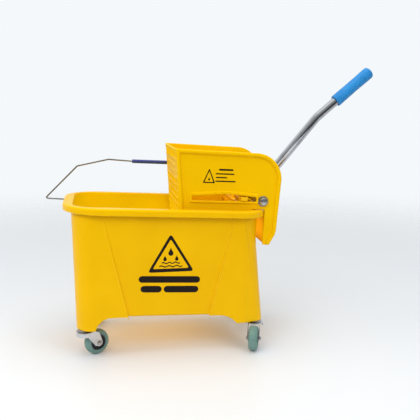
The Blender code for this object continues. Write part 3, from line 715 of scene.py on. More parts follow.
def bail_ears():
    for end in (-1, 1):
        x = end * EAR_X
        z = BAIL.translation.z - SLOPE * x
        outline = arc((x, z), 0.0080, 200, 340, 8) + [(x + 0.0080, z + 0.0120), (x - 0.0080, z + 0.0120)]
        yield prism_xz("ear", outline, 0.092, 0.1255)


def build_bucket():
    body = tub_outside()
    for side in (-1, 1):
        for corner in (front_leg(side), rear_leg(side)):
            combine(body, corner, "UNION")
    for ear in bail_ears():
        combine(body, ear, "UNION")
    combine(body, tub_inside())
    combine(body, side_arch())
    combine(body, end_arch())
    bore = (Matrix.Translation((0, BAIL.translation.y - BUCKET.translation.y, BAIL.translation.z))
            @ Matrix.Rotation(TILT, 4, "Y") @ ALONG_X)
    combine(body, lathe("bail_bore", ((0.0030, -0.26), (0.0030, 0.26)), 24, bore, closed=False))
    for name in CASTER_NAMES:
        spot = BUCKET.inverted() @ Vector(JOINTS["swivel_" + name]["pos_m"])
        profile = ((SOCKET_RADIUS_LEG, 0.050), (SOCKET_RADIUS_LEG, SOCKET_TOP))
        spot.z = 0
        combine(body, lathe("socket", profile, 32, Matrix.Translation(spot), closed=False))
    join(body, *floor_ribs(), *panel_beads())
    moulded(body, 0.0014, 4, 110000)
    return place(body, BUCKET, "bucket", "yellow", "bucket")


# ---- Prints ----
PRINT_PROUD = 0.00025
PRINT_DEEP = 0.0006
SIGN_MIDDLE = 0.0065
SIGN_FOOT = 0.1990
NOTICE_MIDDLE = -0.1308
NOTICE_FOOT = 0.0392


def rounded_triangle(centre, half_base, height, radius):
    """An upright triangle with rounded corners; centre is the middle of its base line."""
    corners = [Vector((centre[0] + half_base, centre[1])), Vector((centre[0], centre[1] + height)),
               Vector((centre[0] - half_base, centre[1]))]
    points = []
    for i, corner in enumerate(corners):
        points += rounded_corner(corners[i - 1], corner, corners[(i + 1) % 3],
                                 lambda angle: radius / math.tan(angle / 2), 6)
    return [tuple(point) for point in points]


def bar(x0, z0, x1, z1, half, sides=6):
    """A straight bar with round ends."""
    heading = math.degrees(math.atan2(z1 - z0, x1 - x0))
    return (arc((x1, z1), half, heading - 90, heading + 90, sides)
            + arc((x0, z0), half, heading + 90, heading + 270, sides))


def wave(x0, x1, z, swing, half, waves, steps=28):
    """A wavy band."""
    upper = []
    lower = []
    for i in range(steps + 1):
        x = x0 + (x1 - x0) * i / steps
        height = z + swing * math.sin(2 * math.pi * waves * i / steps)
        upper.append((x, height + half))
        lower.append((x, height - half))
    return upper + lower[::-1]


def drop(x, z, size):
    """A falling drop: a round foot under a pointed top."""
    return arc((x, z), size, -210, 30, 16) + [(x + size * 0.30, z + size * 1.5), (x, z + size * 2.3),
                                             (x - size * 0.30, z + size * 1.5)]


def flat_shape(bm, outlines):
    """A filled shape in the XZ plane; a second outline is a hole."""
    edges = []
    for outline in outlines:
        points = [bm.verts.new((x, 0, z)) for x, z in outline]
        edges += [bm.edges.new((a, b)) for a, b in zip(points, points[1:] + points[:1])]
    bmesh.ops.triangle_fill(bm, edges=edges, use_beauty=True, use_dissolve=False)


def build_print(name, shapes, wall, matrix, from_y, body):
    """Lay flat shapes on the wall's surface, as thin prints that follow it."""
    bm = bmesh.new()
    for outlines in shapes:
        flat_shape(bm, outlines)
    tree = BVHTree.FromObject(wall, bpy.context.evaluated_depsgraph_get())
    back = matrix.inverted()
    direction = (matrix.to_3x3() @ Vector((0, 1, 0))).normalized()
    front_faces = list(bm.faces)
    for vertex in bm.verts:
        start = matrix @ Vector((vertex.co.x, from_y, vertex.co.z))
        hit = tree.ray_cast(start, direction)[0]
        vertex.co.y = (back @ hit).y - PRINT_PROUD
    made = bmesh.ops.extrude_face_region(bm, geom=front_faces)
    for item in made["geom"]:
        if isinstance(item, bmesh.types.BMVert):
            item.co.y += PRINT_DEEP
    place(to_object(name, bm), matrix, body, "ink")


def build_prints(bucket, housing):
    """A plain sign on the bucket and a small one on the wringer, with no lettering."""
    x, z = SIGN_MIDDLE, SIGN_FOOT
    sign = [[rounded_triangle((x, z), 0.0532, 0.0895, 0.0052),
             rounded_triangle((x, z + 0.0080), 0.0418, 0.0690, 0.0030)]]
    for across, rise, size in ((0, 0.0440, 0.0058), (-0.0135, 0.0300, 0.0040), (0.0135, 0.0300, 0.0040)):
        sign.append([drop(x + across, z + rise, size)])
    for rise, reach in ((0.0215, 0.0210), (0.0135, 0.0265)):
        sign.append([wave(x - reach, x + reach, z + rise, 0.0015, 0.0013, 3)])
    for x0, x1, rise in ((-0.0660, 0.0600, -0.0150), (-0.0620, -0.0290, -0.0385),
                         (-0.0090, 0.0560, -0.0410)):
        sign.append([bar(x + x0, z + rise, x + x1, z + rise - SLOPE * (x1 - x0), 0.0078)])
    build_print("sign_print", sign, bucket, BUCKET, -0.20, "bucket")

    x, z = NOTICE_MIDDLE, NOTICE_FOOT
    notice = [[rounded_triangle((x, z), 0.0142, 0.0335, 0.0012),
               rounded_triangle((x, z + 0.0024), 0.0104, 0.0252, 0.0008)],
              [drop(x, z + 0.0080, 0.0022)]]
    for x0, x1, height, half in ((-0.1070, -0.0770, 0.0705, 0.0020), (-0.1145, -0.0735, 0.0610, 0.0014),
                                 (-0.1140, -0.0900, 0.0525, 0.0014), (-0.1145, -0.0700, 0.0440, 0.0014)):
        notice.append([bar(x0, height, x1, height, half, 4)])
    build_print("notice_print", notice, housing, WRINGER, -0.15, "wringer")


# ---- Wringer housing ----
def front_x(z):
    """The wringer's front edge leans forward as it rises."""
    return CHEEK_FRONT_TOP + (CHEEK_TOP - z) * FRONT_SLOPE


def cheek_edge(steps=24):
    """The exposed edge of a cheek, from the front's top round the back to the skirt's foot."""
    edge = [(front_x(FRONT_TOP), FRONT_TOP)]
    centre = (CHEEK_BACK - CORNER_RADIUS, CHEEK_TOP - CORNER_RADIUS)
    edge += arc(centre, CORNER_RADIUS, 90, 0, steps)
    edge += [(SKIRT_BACK + 0.0008, SKIRT_KNEE + 0.010), (SKIRT_BACK - 0.0012, SKIRT_KNEE),
             (SKIRT_BACK - 0.0060, SKIRT_KNEE - 0.0085), (SKIRT_TOE, SKIRT_BOTTOM)]
    return edge


def moved_in(edge, width):
    """The same edge moved inwards by width, point by point."""
    moved = []
    for i, point in enumerate(edge):
        before = Vector(edge[max(i - 1, 0)])
        after = Vector(edge[min(i + 1, len(edge) - 1)])
        along = (after - before).normalized()
        moved.append((point[0] + along.y * width, point[1] - along.x * width))
    return moved


def slot_outline(grow):
    """The press guide's slot, with a gently arched upper edge, grown by a margin."""
    upper = []
    steps = 16
    for i in range(steps + 1):
        t = i / steps
        x = SLOT_BACK + grow + (SLOT_FRONT - SLOT_BACK - 2 * grow) * t
        crown = SLOT_CROWN * math.sin(math.pi * min(1.0, t * 1.05)) ** 1.5
        upper.append((x, SLOT_HIGH + crown + grow * 1.4))
    return [(SLOT_FRONT - grow, SLOT_LOW - grow), (SLOT_BACK + grow, SLOT_LOW - grow)] + upper


def stepped(width):
    """A border's two steps: how far each is trimmed, how wide it is and how far it stands out."""
    narrow = 0.0022
    return (0, width, CHEEK_EDGE - 0.0016), (narrow * 0.4, width - narrow, CHEEK_EDGE)


def near_cheek():
    edge = cheek_edge()
    outline = edge + [(SADDLE_BACK, SKIRT_BOTTOM), (SADDLE_BACK, SADDLE_TOP), (SADDLE_FRONT, SADDLE_TOP),
                      (SADDLE_FRONT, BASKET_BOTTOM), (front_x(BASKET_BOTTOM), BASKET_BOTTOM)]
    panel = prism_xz("wringer_body", outline, -CHEEK_OUTER, -CHEEK_INNER)
    for trim, width, face in stepped(BORDER_WIDTH):
        strip = moved_in(edge, trim) + moved_in(edge, width)[::-1]
        join(panel, prism_xz("border", strip, -face, -CHEEK_INNER))
    foot = -0.1100
    for trim, width, face in stepped(POST_WIDTH):
        top = FRONT_TOP - trim
        post = [(front_x(top) + trim, top), (front_x(top) + width, top),
                (front_x(foot) + width, foot), (front_x(foot) + trim, foot)]
        join(panel, prism_xz("post", post, -face, -CHEEK_INNER))
    lip = prism_xz("lip", slot_outline(0.0042), -CHEEK_OUTER - 0.0026, -CHEEK_INNER)
    return join(panel, lip, rod_y("boss", 0.0165, -CHEEK_OUTER - 0.0002, -CHEEK_INNER))


def front_rib(y0, z0, y1, z1, half_width):
    """A raised bar on the leaning front wall, between two points."""
    heading = Vector((y1 - y0, z1 - z0)).normalized()
    side = Vector((-heading.y, heading.x)) * half_width
    ends = ((y0 + side.x, z0 + side.y), (y1 + side.x, z1 + side.y),
            (y1 - side.x, z1 - side.y), (y0 - side.x, z0 - side.y))
    return skin("rib", [[(front_x(z) + out, y, z) for y, z in ends] for out in (-0.0022, 0.002)])


def front_ribs():
    """Ribs on the outside of the front wall: upright in the top band, level and crossed below it."""
    half_span = CHEEK_INNER - 0.004
    band = FRONT_TOP - 0.024
    pitch = 0.0120
    count = int(half_span / pitch)
    for i in range(-count, count + 1):
        yield front_rib(i * pitch, band + 0.002, i * pitch, FRONT_TOP - 0.004, 0.0016)
    yield front_rib(-half_span, FRONT_TOP - 0.0030, half_span, FRONT_TOP - 0.0030, 0.0022)
    z = band
    while z > BASKET_BOTTOM + 0.02:
        yield front_rib(-half_span, z, half_span, z, 0.0014)
        z -= 0.0150
    high, low = band - 0.045, BASKET_BOTTOM + 0.012
    run = (high - low) * 0.55
    for i in range(-3, 4):
        for way in (-1, 1):
            y = i * 0.030
            share = min(1.0, (half_span - way * y) / run)       # what fits between the cheeks
            if share > 0.05:
                yield front_rib(y, high, y + way * run * share, high + (low - high) * share, 0.0009)


def build_housing():
    body = near_cheek()
    reach = CHEEK_INNER + 0.001
    front = [(front_x(FRONT_TOP), FRONT_TOP), (front_x(FRONT_TOP) + FRONT_SHEET, FRONT_TOP),
             (front_x(BASKET_BOTTOM) + FRONT_SHEET, BASKET_BOTTOM), (front_x(BASKET_BOTTOM), BASKET_BOTTOM)]
    floor = [(front_x(BASKET_BOTTOM) + 0.001, BASKET_BOTTOM), (SADDLE_FRONT, BASKET_BOTTOM),
             (SADDLE_FRONT, BASKET_FLOOR), (front_x(BASKET_FLOOR) + 0.001, BASKET_FLOOR)]
    join(body, mirrored(body, "far_cheek"), prism_xz("front_wall", front, -reach, reach), *front_ribs())
    join(body, prism_xz("basket_floor", floor, -reach, reach),
         block("back_plate", (0.0108, -reach, SKIRT_BOTTOM), (0.0142, reach, -0.0240)))
    half, foot, top = 0.0015, SKIRT_BOTTOM + 0.006, -0.030
    for y in (-0.060, -0.020, 0.020, 0.060):
        join(body, block("back_rib", (0.0140, y - half, foot), (0.0172, y + half, top)))
    for z in (top, foot):
        join(body, block("back_rail", (0.0140, -0.092, z - half), (0.0172, 0.092, z + half)))
    cut_housing(body)
    moulded(body, HOUSING_VOXEL, 4, 130000)
    return place(body, WRINGER, "wringer", "grained", "wringer_housing")


def cut_housing(body):
    """Melt the joined solids into one skin, then cut the openings through it."""
    melted(body, HOUSING_VOXEL)
    cutter = prism_xz("slot", slot_outline(0), -0.12, 0.12)
    join(cutter, rod_y("pivot_hole", ROD_HOLE, -0.12, 0.12))
    for row in range(-3, 4):
        for column in range(5):
            x, y = -0.165 + column * 0.0255, row * 0.024
            shape = arc((x + 0.020, y), 0.003, -90, 90, 8) + arc((x + 0.003, y), 0.003, 90, 270, 8)
            join(cutter, prism_xy("drain", shape, -0.13, -0.10))
    combine(body, cutter)


# ---- Press plate and guide shoes ----
def cam_point(swing):
    """Where a crank pin meets the plate, in the plate's own place at rest."""
    angle = CRANK_REST - swing
    return Vector((-CRANK_RADIUS * math.cos(angle) + PRESS_RATE * swing, -CRANK_RADIUS * math.sin(angle)))


def cam_slot():
    steps = 20
    half = 0.0044
    track = [cam_point(LEVER_SWING * i / steps) for i in range(steps + 1)]
    left = []
    right = []
    for i, point in enumerate(track):
        along = (track[min(i + 1, steps)] - track[max(i - 1, 0)]).normalized()
        across = Vector((-along.y, along.x)) * half
        left.append(tuple(point + across))
        right.append(tuple(point - across))

    def round_end(centre, outward):
        heading = math.degrees(math.atan2(outward.y, outward.x))
        return arc(tuple(centre), half, heading + 90, heading - 90, 12)[1:-1]

    return (left + round_end(track[-1], track[-1] - track[-2]) + right[::-1]
            + round_end(track[0], track[0] - track[1]))


def build_press():
    plate = block("press_body", (PLATE_FRONT, -PLATE_HALF_WIDTH, PLATE_BOTTOM),
                  (PLATE_BACK, PLATE_HALF_WIDTH, PLATE_TOP))
    root = PLATE_BACK - 0.001
    roll = [(root, PLATE_TOP - 0.004)]
    roll += arc((PLATE_BACK + 0.008, PLATE_TOP - 0.002), 0.002, -90, 90, 6)
    roll.append((root, PLATE_TOP))
    join(plate, prism_xz("roll", roll, -PLATE_HALF_WIDTH, PLATE_HALF_WIDTH))
    lug = ((root, -0.1045), (-0.0185, -0.1045), (-0.0120, -0.0300), (-0.0115, -0.0080),
           (-0.0200, -0.0040), (root, 0.0120))
    for side in (-1, 1):
        join(plate, prism_xz("cam_lug", lug, *span_y(side, 0.0580, 0.0640)))
        low, high = span_y(side, PLATE_HALF_WIDTH - 0.006, PLATE_HALF_WIDTH)
        join(plate, block("shoe_pad", (root, low, -0.010), (SHOE_BACK + 0.002, high, 0.018)))
        low, high = span_y(side, 0.030, 0.0325)
        join(plate, block("stiffener", (root, low, -0.100), (PLATE_BACK + 0.006, high, 0.070)))
    z = PLATE_BOTTOM + 0.010
    while z < PLATE_TOP - 0.006:
        join(plate, block("rib", (PLATE_FRONT - 0.0012, -0.090, z - 0.0011),
                          (PLATE_FRONT + 0.001, 0.090, z + 0.0011)))
        z += PRESS_PITCH
    melted(plate, PRESS_VOXEL)
    cutter = prism_xz("cam_slot", cam_slot(), -0.08, 0.08)
    z = PLATE_BOTTOM + 0.0165
    while z < PLATE_TOP - 0.012:
        for y in (-0.078, -0.045, 0.0, 0.045, 0.078):
            join(cutter, block("hole", (-0.07, y - 0.0085, z - 0.0022), (-0.050, y + 0.0085, z + 0.0022)))
        z += PRESS_PITCH
    combine(plate, cutter)
    moulded(plate, PRESS_VOXEL, 3, 60000)
    place(plate, WRINGER, "press", "yellow", "press_plate")


def build_guide_shoes():
    middle = ((SHOE_FRONT + SHOE_BACK) / 2, (SLOT_LOW + SLOT_HIGH) / 2)
    for side, name in SIDES:
        low, high = span_y(side, 0.0948, 0.1030)
        shoe = block("press_guide_" + name, (SHOE_FRONT, low, SLOT_LOW + 0.0007),
                     (SHOE_BACK, high, SLOT_HIGH - 0.0007))
        softened(shoe, 0.0012, 3)
        combine(shoe, rod_y("button", 0.0042, *span_y(side, 0.1028, 0.1040), 28, middle), "UNION")
        place(shoe, WRINGER, "press", "yellow", "guide_shoe_" + name)


# ---- Lever ----
def lever_direction(angle):
    return Vector((math.cos(angle), 0, math.sin(angle)))


def along_lever(angle, start=Vector((0, 0, 0))):
    """Places local Z along the lever's direction."""
    return Matrix.Translation(start) @ Matrix.Rotation(math.pi / 2 - angle, 4, "Y")


def crank_arm(side):
    pin = cam_point(0)
    elbow = Vector((-0.0330, -0.0220))
    hub = Vector((0, 0))
    half = 0.0070
    lean_a = (elbow - hub).normalized()
    lean_b = (pin - elbow).normalized()
    across_a = Vector((-lean_a.y, lean_a.x)) * half
    across_b = Vector((-lean_b.y, lean_b.x)) * half
    bend = (across_a + across_b).normalized() * half * 1.10
    start = math.degrees(math.atan2(across_b.y, across_b.x))
    outline = [tuple(hub - across_a), tuple(elbow - bend)]
    outline += arc(tuple(pin), half, start - 180, start, 16)
    outline += [tuple(elbow + bend), tuple(hub + across_a)]
    return prism_xz("crank_arm", outline, *span_y(side, ARM_INNER, ARM_OUTER))


BOLT = lever_direction(LEVER_ANGLE) * 0.0420
BEND_POINT = lever_direction(LEVER_ANGLE) * LEVER_BEND
YOKE_VOXEL = 0.0008


def bolt_bore():
    return rod_y("bolt_bore", 0.0035, -0.03, 0.03, 24, (BOLT.x, BOLT.z))


def build_yoke():
    yoke = rod_y("yoke_body", 0.0115, -0.0780, 0.0780, 48)
    here = along_lever(LEVER_ANGLE)
    socket = lathe("socket", ((SOCKET_RADIUS, 0.002), (SOCKET_RADIUS, 0.0580)), 48, here, closed=False)
    join(yoke, socket, crank_arm(-1), crank_arm(1))
    melted(yoke, YOKE_VOXEL)
    combine(yoke, lathe("bore", ((SOCKET_BORE, 0.0152), (SOCKET_BORE, 0.080)), 40, here, closed=False))
    combine(yoke, rod_y("rod_bore", ROD_HOLE, -0.10, 0.10))
    combine(yoke, bolt_bore())
    moulded(yoke, YOKE_VOXEL, 3, 24000)
    place(yoke, WRINGER, "lever", "zinc", "crank_yoke")


def build_tube():
    tip = BEND_POINT + lever_direction(LEVER_BEND_ANGLE) * (LEVER_UPPER - 0.010)
    path = filleted([lever_direction(LEVER_ANGLE) * 0.0155, BEND_POINT, tip], LEVER_BEND_RADIUS, 14)
    rings = sweep_rings(path, TUBE_RADIUS, 48) + sweep_rings(path, TUBE_BORE, 48)[::-1]
    tube = skin("lever_tube", rings, closed=True)
    combine(tube, bolt_bore())
    place(tube, WRINGER, "lever", "chrome", "handle_tube")


def build_grip():
    """The dipped grip: open where the tube enters, slightly waisted, domed at its end."""
    start, end = LEVER_UPPER - GRIP_LENGTH, LEVER_UPPER
    edge, dome = 0.0035, 0.0090
    profile = [(GRIP_BORE, end - 0.0095), (GRIP_BORE, start + 0.0006), (GRIP_BORE + 0.0006, start),
               (GRIP_RADIUS * 0.93, start), (GRIP_RADIUS * 0.985, start + 0.0012),
               (GRIP_RADIUS, start + edge)]
    for i in range(1, 24):
        t = i / 24
        swell = 0.975 + 0.018 * math.cos(2 * math.pi * t)
        profile.append((GRIP_RADIUS * swell, start + edge + t * (GRIP_LENGTH - edge - dome)))
    for i in range(10):
        angle = math.radians(9.6 * i)
        profile.append((GRIP_RADIUS * 0.99 * math.cos(angle), end - dome + dome * math.sin(angle)))
    profile.append((0.0006, end))
    spot = along_lever(LEVER_BEND_ANGLE, BEND_POINT)
    grip = lathe("lever_grip", profile, 64, spot, closed=False, smooth_angle=60.0)
    place(grip, WRINGER, "lever", "blue", "handle_grip")


def build_bolt():
    face = SOCKET_RADIUS + 0.0003
    bolt = rod_y("lever_bolt", 0.0030, -face - 0.001, face + 0.001, 32)
    combine(bolt, hexagon_y("head", 0.0095, -face - 0.0038, -face), "UNION")
    combine(bolt, hexagon_y("nut", 0.0095, face, face + 0.0038), "UNION")
    softened(bolt, 0.0004)
    place(bolt, WRINGER @ Matrix.Translation((BOLT.x, 0, BOLT.z)), "lever", "zinc", "handle_bolt")


def turned_pairs(spot, body, *rows):
    """Zinc plated pieces turned from profiles, each with its mirror image on the other side."""
    for side, where in SIDES:
        for name, node, profile, sides, closed in rows:
            piece = lathe(name + where, [(r, side * y) for r, y in profile], sides, spot, closed)
            place(piece, WRINGER, body, "zinc", node + where)


def build_crank_pins():
    pin = cam_point(0)
    spot = Matrix.Translation((pin.x, 0, pin.y)) @ ALONG_Y
    profile = ((0.0056, 0.0548), (0.0062, 0.0554), (0.0062, 0.0572), (0.0058, 0.0576), (0.0040, 0.0576),
               (0.0040, 0.0667))
    turned_pairs(spot, "lever", ("crank_stud_", "crank_pin_", profile, 40, False))


# ---- Pivot rod with washers and domed nuts ----
def build_pivot():
    end = CHEEK_OUTER + 0.0028
    rod = rod_y("pivot_shaft", ROD_RADIUS, -end, end, 48)
    softened(rod, 0.0004)
    place(rod, WRINGER, "wringer", "zinc", "pivot_rod")
    face = CHEEK_OUTER + 0.0003
    washer = ((0.0065, face), (0.0121, face), (0.0125, face + 0.0004), (0.0125, face + 0.0012),
              (0.0121, face + 0.0016), (0.0065, face + 0.0016))
    base = end + 0.0003
    dome = [(0.0093, base), (0.0098, base + 0.0004), (0.0100, base + 0.0010)]
    for i in range(1, 9):
        angle = math.radians(11.0 * i)
        dome.append((0.0100 * math.cos(angle), base + 0.0010 + 0.0062 * math.sin(angle)))
    dome.append((0.0003, base + 0.0072))
    turned_pairs(ALONG_Y, "wringer", ("pivot_ring_", "pivot_washer_", washer, 64, True),
                 ("pivot_dome_", "pivot_nut_", dome, 48, False))


# ---- Bail ----
def build_bail():
    grip_half = 0.0705
    grip_height = 0.1052
    half = [(EAR_X - 0.0130, 0), (EAR_X + 0.0180, 0), (0.2862, 0.0025), (0.2080, 0.0880), (0.1306, 0.1078),
            (grip_half, grip_height)]
    points = [(-x, 0, z) for x, z in half] + [(x, 0, z) for x, z in reversed(half)]
    path = filleted(points, 0.0040, 10)
    place(skin("bail_loop", sweep_rings(path, 0.0020, 20)), BAIL, "bail", "wire", "bail_wire")
    outer = 0.0048
    profile = [(0.0025, -grip_half), (outer - 0.0008, -grip_half), (outer - 0.0002, -grip_half + 0.0003),
               (outer, -grip_half + 0.0010)]
    for i in range(1, 20):
        profile.append((outer, -grip_half + 0.0010 + (2 * grip_half - 0.0020) * i / 20))
    profile += [(outer, grip_half - 0.0010), (outer - 0.0002, grip_half - 0.0003),
                (outer - 0.0008, grip_half), (0.0025, grip_half)]
    spot = Matrix.Translation((0, 0, grip_height)) @ ALONG_X
    sleeve = lathe("bail_sleeve", profile, 40, spot)
    place(sleeve, BAIL, "bail", "navy", "bail_grip")


# ---- Casters ----
def both_faces(side):
    """The profile of a wheel's part, from one of its faces."""
    return [(r, -y) for r, y in side] + [(r, y) for r, y in reversed(side)]


def fork_mesh():
    """Pressed fork: a domed crown with a rolled lip, and two cheeks down to the axle."""
    crown_radius = 0.0205
    sides = 56
    fork = lathe("fork", ((crown_radius - 0.0006, 0.0600), (crown_radius, 0.0604), (crown_radius, 0.0619),
                          (crown_radius - 0.0006, CROWN_TOP)), sides, closed=False)
    lip = lathe("lip", ((crown_radius - FORK_SHEET, 0.0511), (crown_radius - 0.0010, 0.0506),
                        (crown_radius, 0.0511), (crown_radius, 0.0612),
                        (crown_radius - FORK_SHEET, 0.0612)), sides)
    combine(lip, block("lip_cut", (-0.001, -0.030, 0.045), (0.030, 0.030, 0.070)))
    join(fork, lip)
    bowl = lathe("bowl", ((0.0120, 0.0580), (0.0150, 0.0590), (0.0165, 0.0606), (0.0100, 0.0606)), 40)
    join(fork, bowl)
    outline = [(-0.0060, CROWN_TOP - 0.0006), (-0.0060, 0.0560), (0.0185, 0.0240)]
    outline += arc((TRAIL, WHEEL_RADIUS), 0.0085, 225, 375, 16)
    outline += [(0.0290, 0.0560), (0.0150, CROWN_TOP - 0.0006)]
    crease = [(0.0125, 0.0580), (0.0150, 0.0580), (0.0245, 0.0330), (0.0228, 0.0325)]
    for side in (-1, 1):
        join(fork, prism_xz("cheek", outline, *span_y(side, FORK_INNER, FORK_INNER + FORK_SHEET)),
             prism_xz("crease", crease, *span_y(side, FORK_INNER + 0.001, FORK_INNER + FORK_SHEET + 0.0005)))
    melted(fork, 0.00055)
    combine(fork, rod_y("axle_hole", 0.0034, -0.03, 0.03, 24, (TRAIL, WHEEL_RADIUS)))
    moulded(fork, 0.0005, 3, 14000)
    return fork.data


def axle_mesh():
    face = FORK_INNER + FORK_SHEET + 0.0004
    axle = rod_y("axle", 0.0030, -face - 0.001, face + 0.001, 32)
    combine(axle, hexagon_y("nut", 0.0088, face, face + 0.0026), "UNION")
    head = lathe("head", [(0.0050, -face), (0.0052, -face - 0.0006), (0.0046, -face - 0.0018),
                          (0.0028, -face - 0.0028), (0.0006, -face - 0.0030)], 36, ALONG_Y, closed=False)
    combine(axle, head, "UNION")
    softened(axle, 0.0003)
    return axle.data


def hub_mesh():
    """Dark wheel centre with a raised boss, a dished web with spokes and a bead."""
    half = 0.0105
    bore = 0.0034
    side = [(bore, half), (0.0062, half), (0.0069, half - 0.0006), (0.0072, half - 0.0040),
            (0.0140, half - 0.0046), (0.0152, half - 0.0040), (0.0162, half - 0.0014),
            (0.0168, half - 0.0010), (HUB_RADIUS, half - 0.0012)]
    hub = lathe("hub", both_faces(side), 64, ALONG_Y)
    for i in range(8):
        turn = Matrix.Rotation(2 * math.pi * i / 8, 4, "Y")
        for end in (-1, 1):
            low, high = span_y(end, half - 0.0060, half - 0.0026)
            spoke = block("spoke", (0.0066, low, -0.0007), (0.0150, high, 0.0007))
            spoke.data.transform(turn)
            combine(hub, spoke, "UNION")
    return hub.data


def tyre_mesh():
    half = 0.0110
    inner = HUB_RADIUS + 0.0005
    tread = WHEEL_RADIUS - 0.0002
    side = [(inner, half - 0.0012), (inner + 0.0006, half - 0.0006), (inner + 0.0024, half - 0.0006),
            (inner + 0.0030, half - 0.0002), (inner + 0.0044, half - 0.0004), (tread - 0.0046, half * 0.90),
            (tread - 0.0026, half * 0.80), (tread - 0.0012, half * 0.64), (tread - 0.0004, half * 0.42),
            (tread, half * 0.18)]
    return lathe("tyre", both_faces(side), 72, ALONG_Y).data


def stem_mesh():
    top = LEG_BOTTOM - 0.0003
    low = CROWN_TOP + 0.0003
    profile = ((0.0155, low), (0.0164, low + 0.0004), (0.0168, low + 0.0010), (0.0160, low + 0.0014),
               (0.0135, top - 0.0010), (0.0135, top), (0.0055, top), (0.0055, 0.088), (0.0040, 0.090))
    return lathe("stem", profile, 64, closed=False).data


def sleeve_mesh():
    low = LEG_BOTTOM + 0.0006
    profile = ((0.0058, low), (0.0076, low), (0.0080, low + 0.0004), (0.0080, 0.0890), (0.0058, 0.0890))
    return lathe("sleeve", profile, 40).data


def build_casters():
    centre = Vector()
    axle = Vector((TRAIL, 0, WHEEL_RADIUS))
    kinds = (
        ("stem", stem_mesh(), "bucket", "zinc", centre),
        ("sleeve", sleeve_mesh(), "bucket", "zinc", centre),
        ("fork", fork_mesh(), "fork", "pressed", centre),
        ("axle", axle_mesh(), "fork", "zinc", axle),
        ("hub", hub_mesh(), "wheel", "black", axle),
        ("tyre", tyre_mesh(), "wheel", "tyre", axle),
    )
    for item in [item for item in bpy.data.objects if item.name in {row[0] for row in kinds}]:
        bpy.data.objects.remove(item, do_unlink=True)
    for name in CASTER_NAMES:
        swivel = Vector(JOINTS["swivel_" + name]["pos_m"])
        wheel = Vector(JOINTS["roll_" + name]["pos_m"])
        heading = math.atan2(wheel.y - swivel.y, wheel.x - swivel.x)
        spot = Matrix.Translation((swivel.x, swivel.y, 0)) @ Matrix.Rotation(heading, 4, "Z")
        for kind, mesh, body, coat, offset in kinds:
            piece = bpy.data.objects.new("wheelset_" + name + "_" + kind, mesh.copy())
            bpy.context.scene.collection.objects.link(piece)
            owner = body if body == "bucket" else body + "_" + name
            place(piece, spot @ Matrix.Translation(offset), owner, coat, "caster_" + name + "_" + kind)


# ---- Stage, light and camera ----
CAMERA_YAW = math.radians(10.555)
CAMERA_PITCH = math.radians(10.059)
CAMERA_ROLL = math.radians(0.458)
CAMERA_DISTANCE = 1.47776
CAMERA_AIM = Vector((0.11797, 0, 0.31947))      # from the floor below the bucket's centre
CAMERA_LENS = 51.19
FLOOR_CLEAR = 0.35                              # the floor fades out from here
FLOOR_END = 3.0


def build_camera():
    data = bpy.data.cameras.new("camera")
    data.lens = CAMERA_LENS
    data.sensor_width = 36.0
    camera = bpy.data.objects.new("camera", data)
    bpy.context.scene.collection.objects.link(camera)
    ahead = Vector((math.sin(CAMERA_YAW) * math.cos(CAMERA_PITCH),
                    math.cos(CAMERA_YAW) * math.cos(CAMERA_PITCH), -math.sin(CAMERA_PITCH)))
    right = Vector((math.cos(CAMERA_YAW), -math.sin(CAMERA_YAW), 0))
    up = right.cross(ahead)
    right_rolled = right * math.cos(CAMERA_ROLL) + up * math.sin(CAMERA_ROLL)
    up_rolled = up * math.cos(CAMERA_ROLL) - right * math.sin(CAMERA_ROLL)
    spot = BUCKET.translation + CAMERA_AIM - ahead * CAMERA_DISTANCE
    turn = Matrix((right_rolled, up_rolled, -ahead)).transposed()
    camera.matrix_world = Matrix.Translation(spot) @ turn.to_4x4()
    bpy.context.scene.camera = camera


def floor_material():
    n = Coat("pale_floor")
    distance = n.add("ShaderNodeVectorMath", operation="LENGTH")
    n.link(n.place, distance.inputs[0])
    fade = n.span(distance.outputs["Value"], FLOOR_CLEAR, FLOOR_END, 1.0, 0.0)
    fade.node.interpolation_type = "SMOOTHERSTEP"
    n.link(fade, n.shader.inputs["Alpha"])
    n.shader.inputs["Base Color"].default_value = (0.768, 0.790, 0.816, 1.0)
    n.shader.inputs["Roughness"].default_value = 0.42
    n.shader.inputs["Specular IOR Level"].default_value = 0.35
    return n.material


def build_stage():
    bpy.ops.mesh.primitive_circle_add(vertices=96, radius=FLOOR_END + 0.1, fill_type="NGON")
    floor = bpy.context.object
    floor.name = "studio_floor"
    floor.data.materials.append(floor_material())


def area_light(name, spot, aim, size, power, colour=(1.0, 1.0, 1.0)):
    data = bpy.data.lights.new(name, "AREA")
    data.shape = "RECTANGLE"
    data.size, data.size_y = size
    data.energy = power
    data.color = colour
    light = bpy.data.objects.new(name, data)
    bpy.context.scene.collection.objects.link(light)
    light.rotation_euler = (Vector(aim) - Vector(spot)).to_track_quat("-Z", "Y").to_euler()
    light.location = spot
    light.visible_glossy = False


BACKDROP = (0.905, 0.940, 0.965, 1.0)
LIT_BANDS = ((0.02, 0.36), (0.55, 1.0))
ROOM_BANDS = ((0.00, 0.07), (0.14, 0.09), (0.30, 0.22), (0.55, 0.36), (0.80, 0.55), (1.00, 1.60))


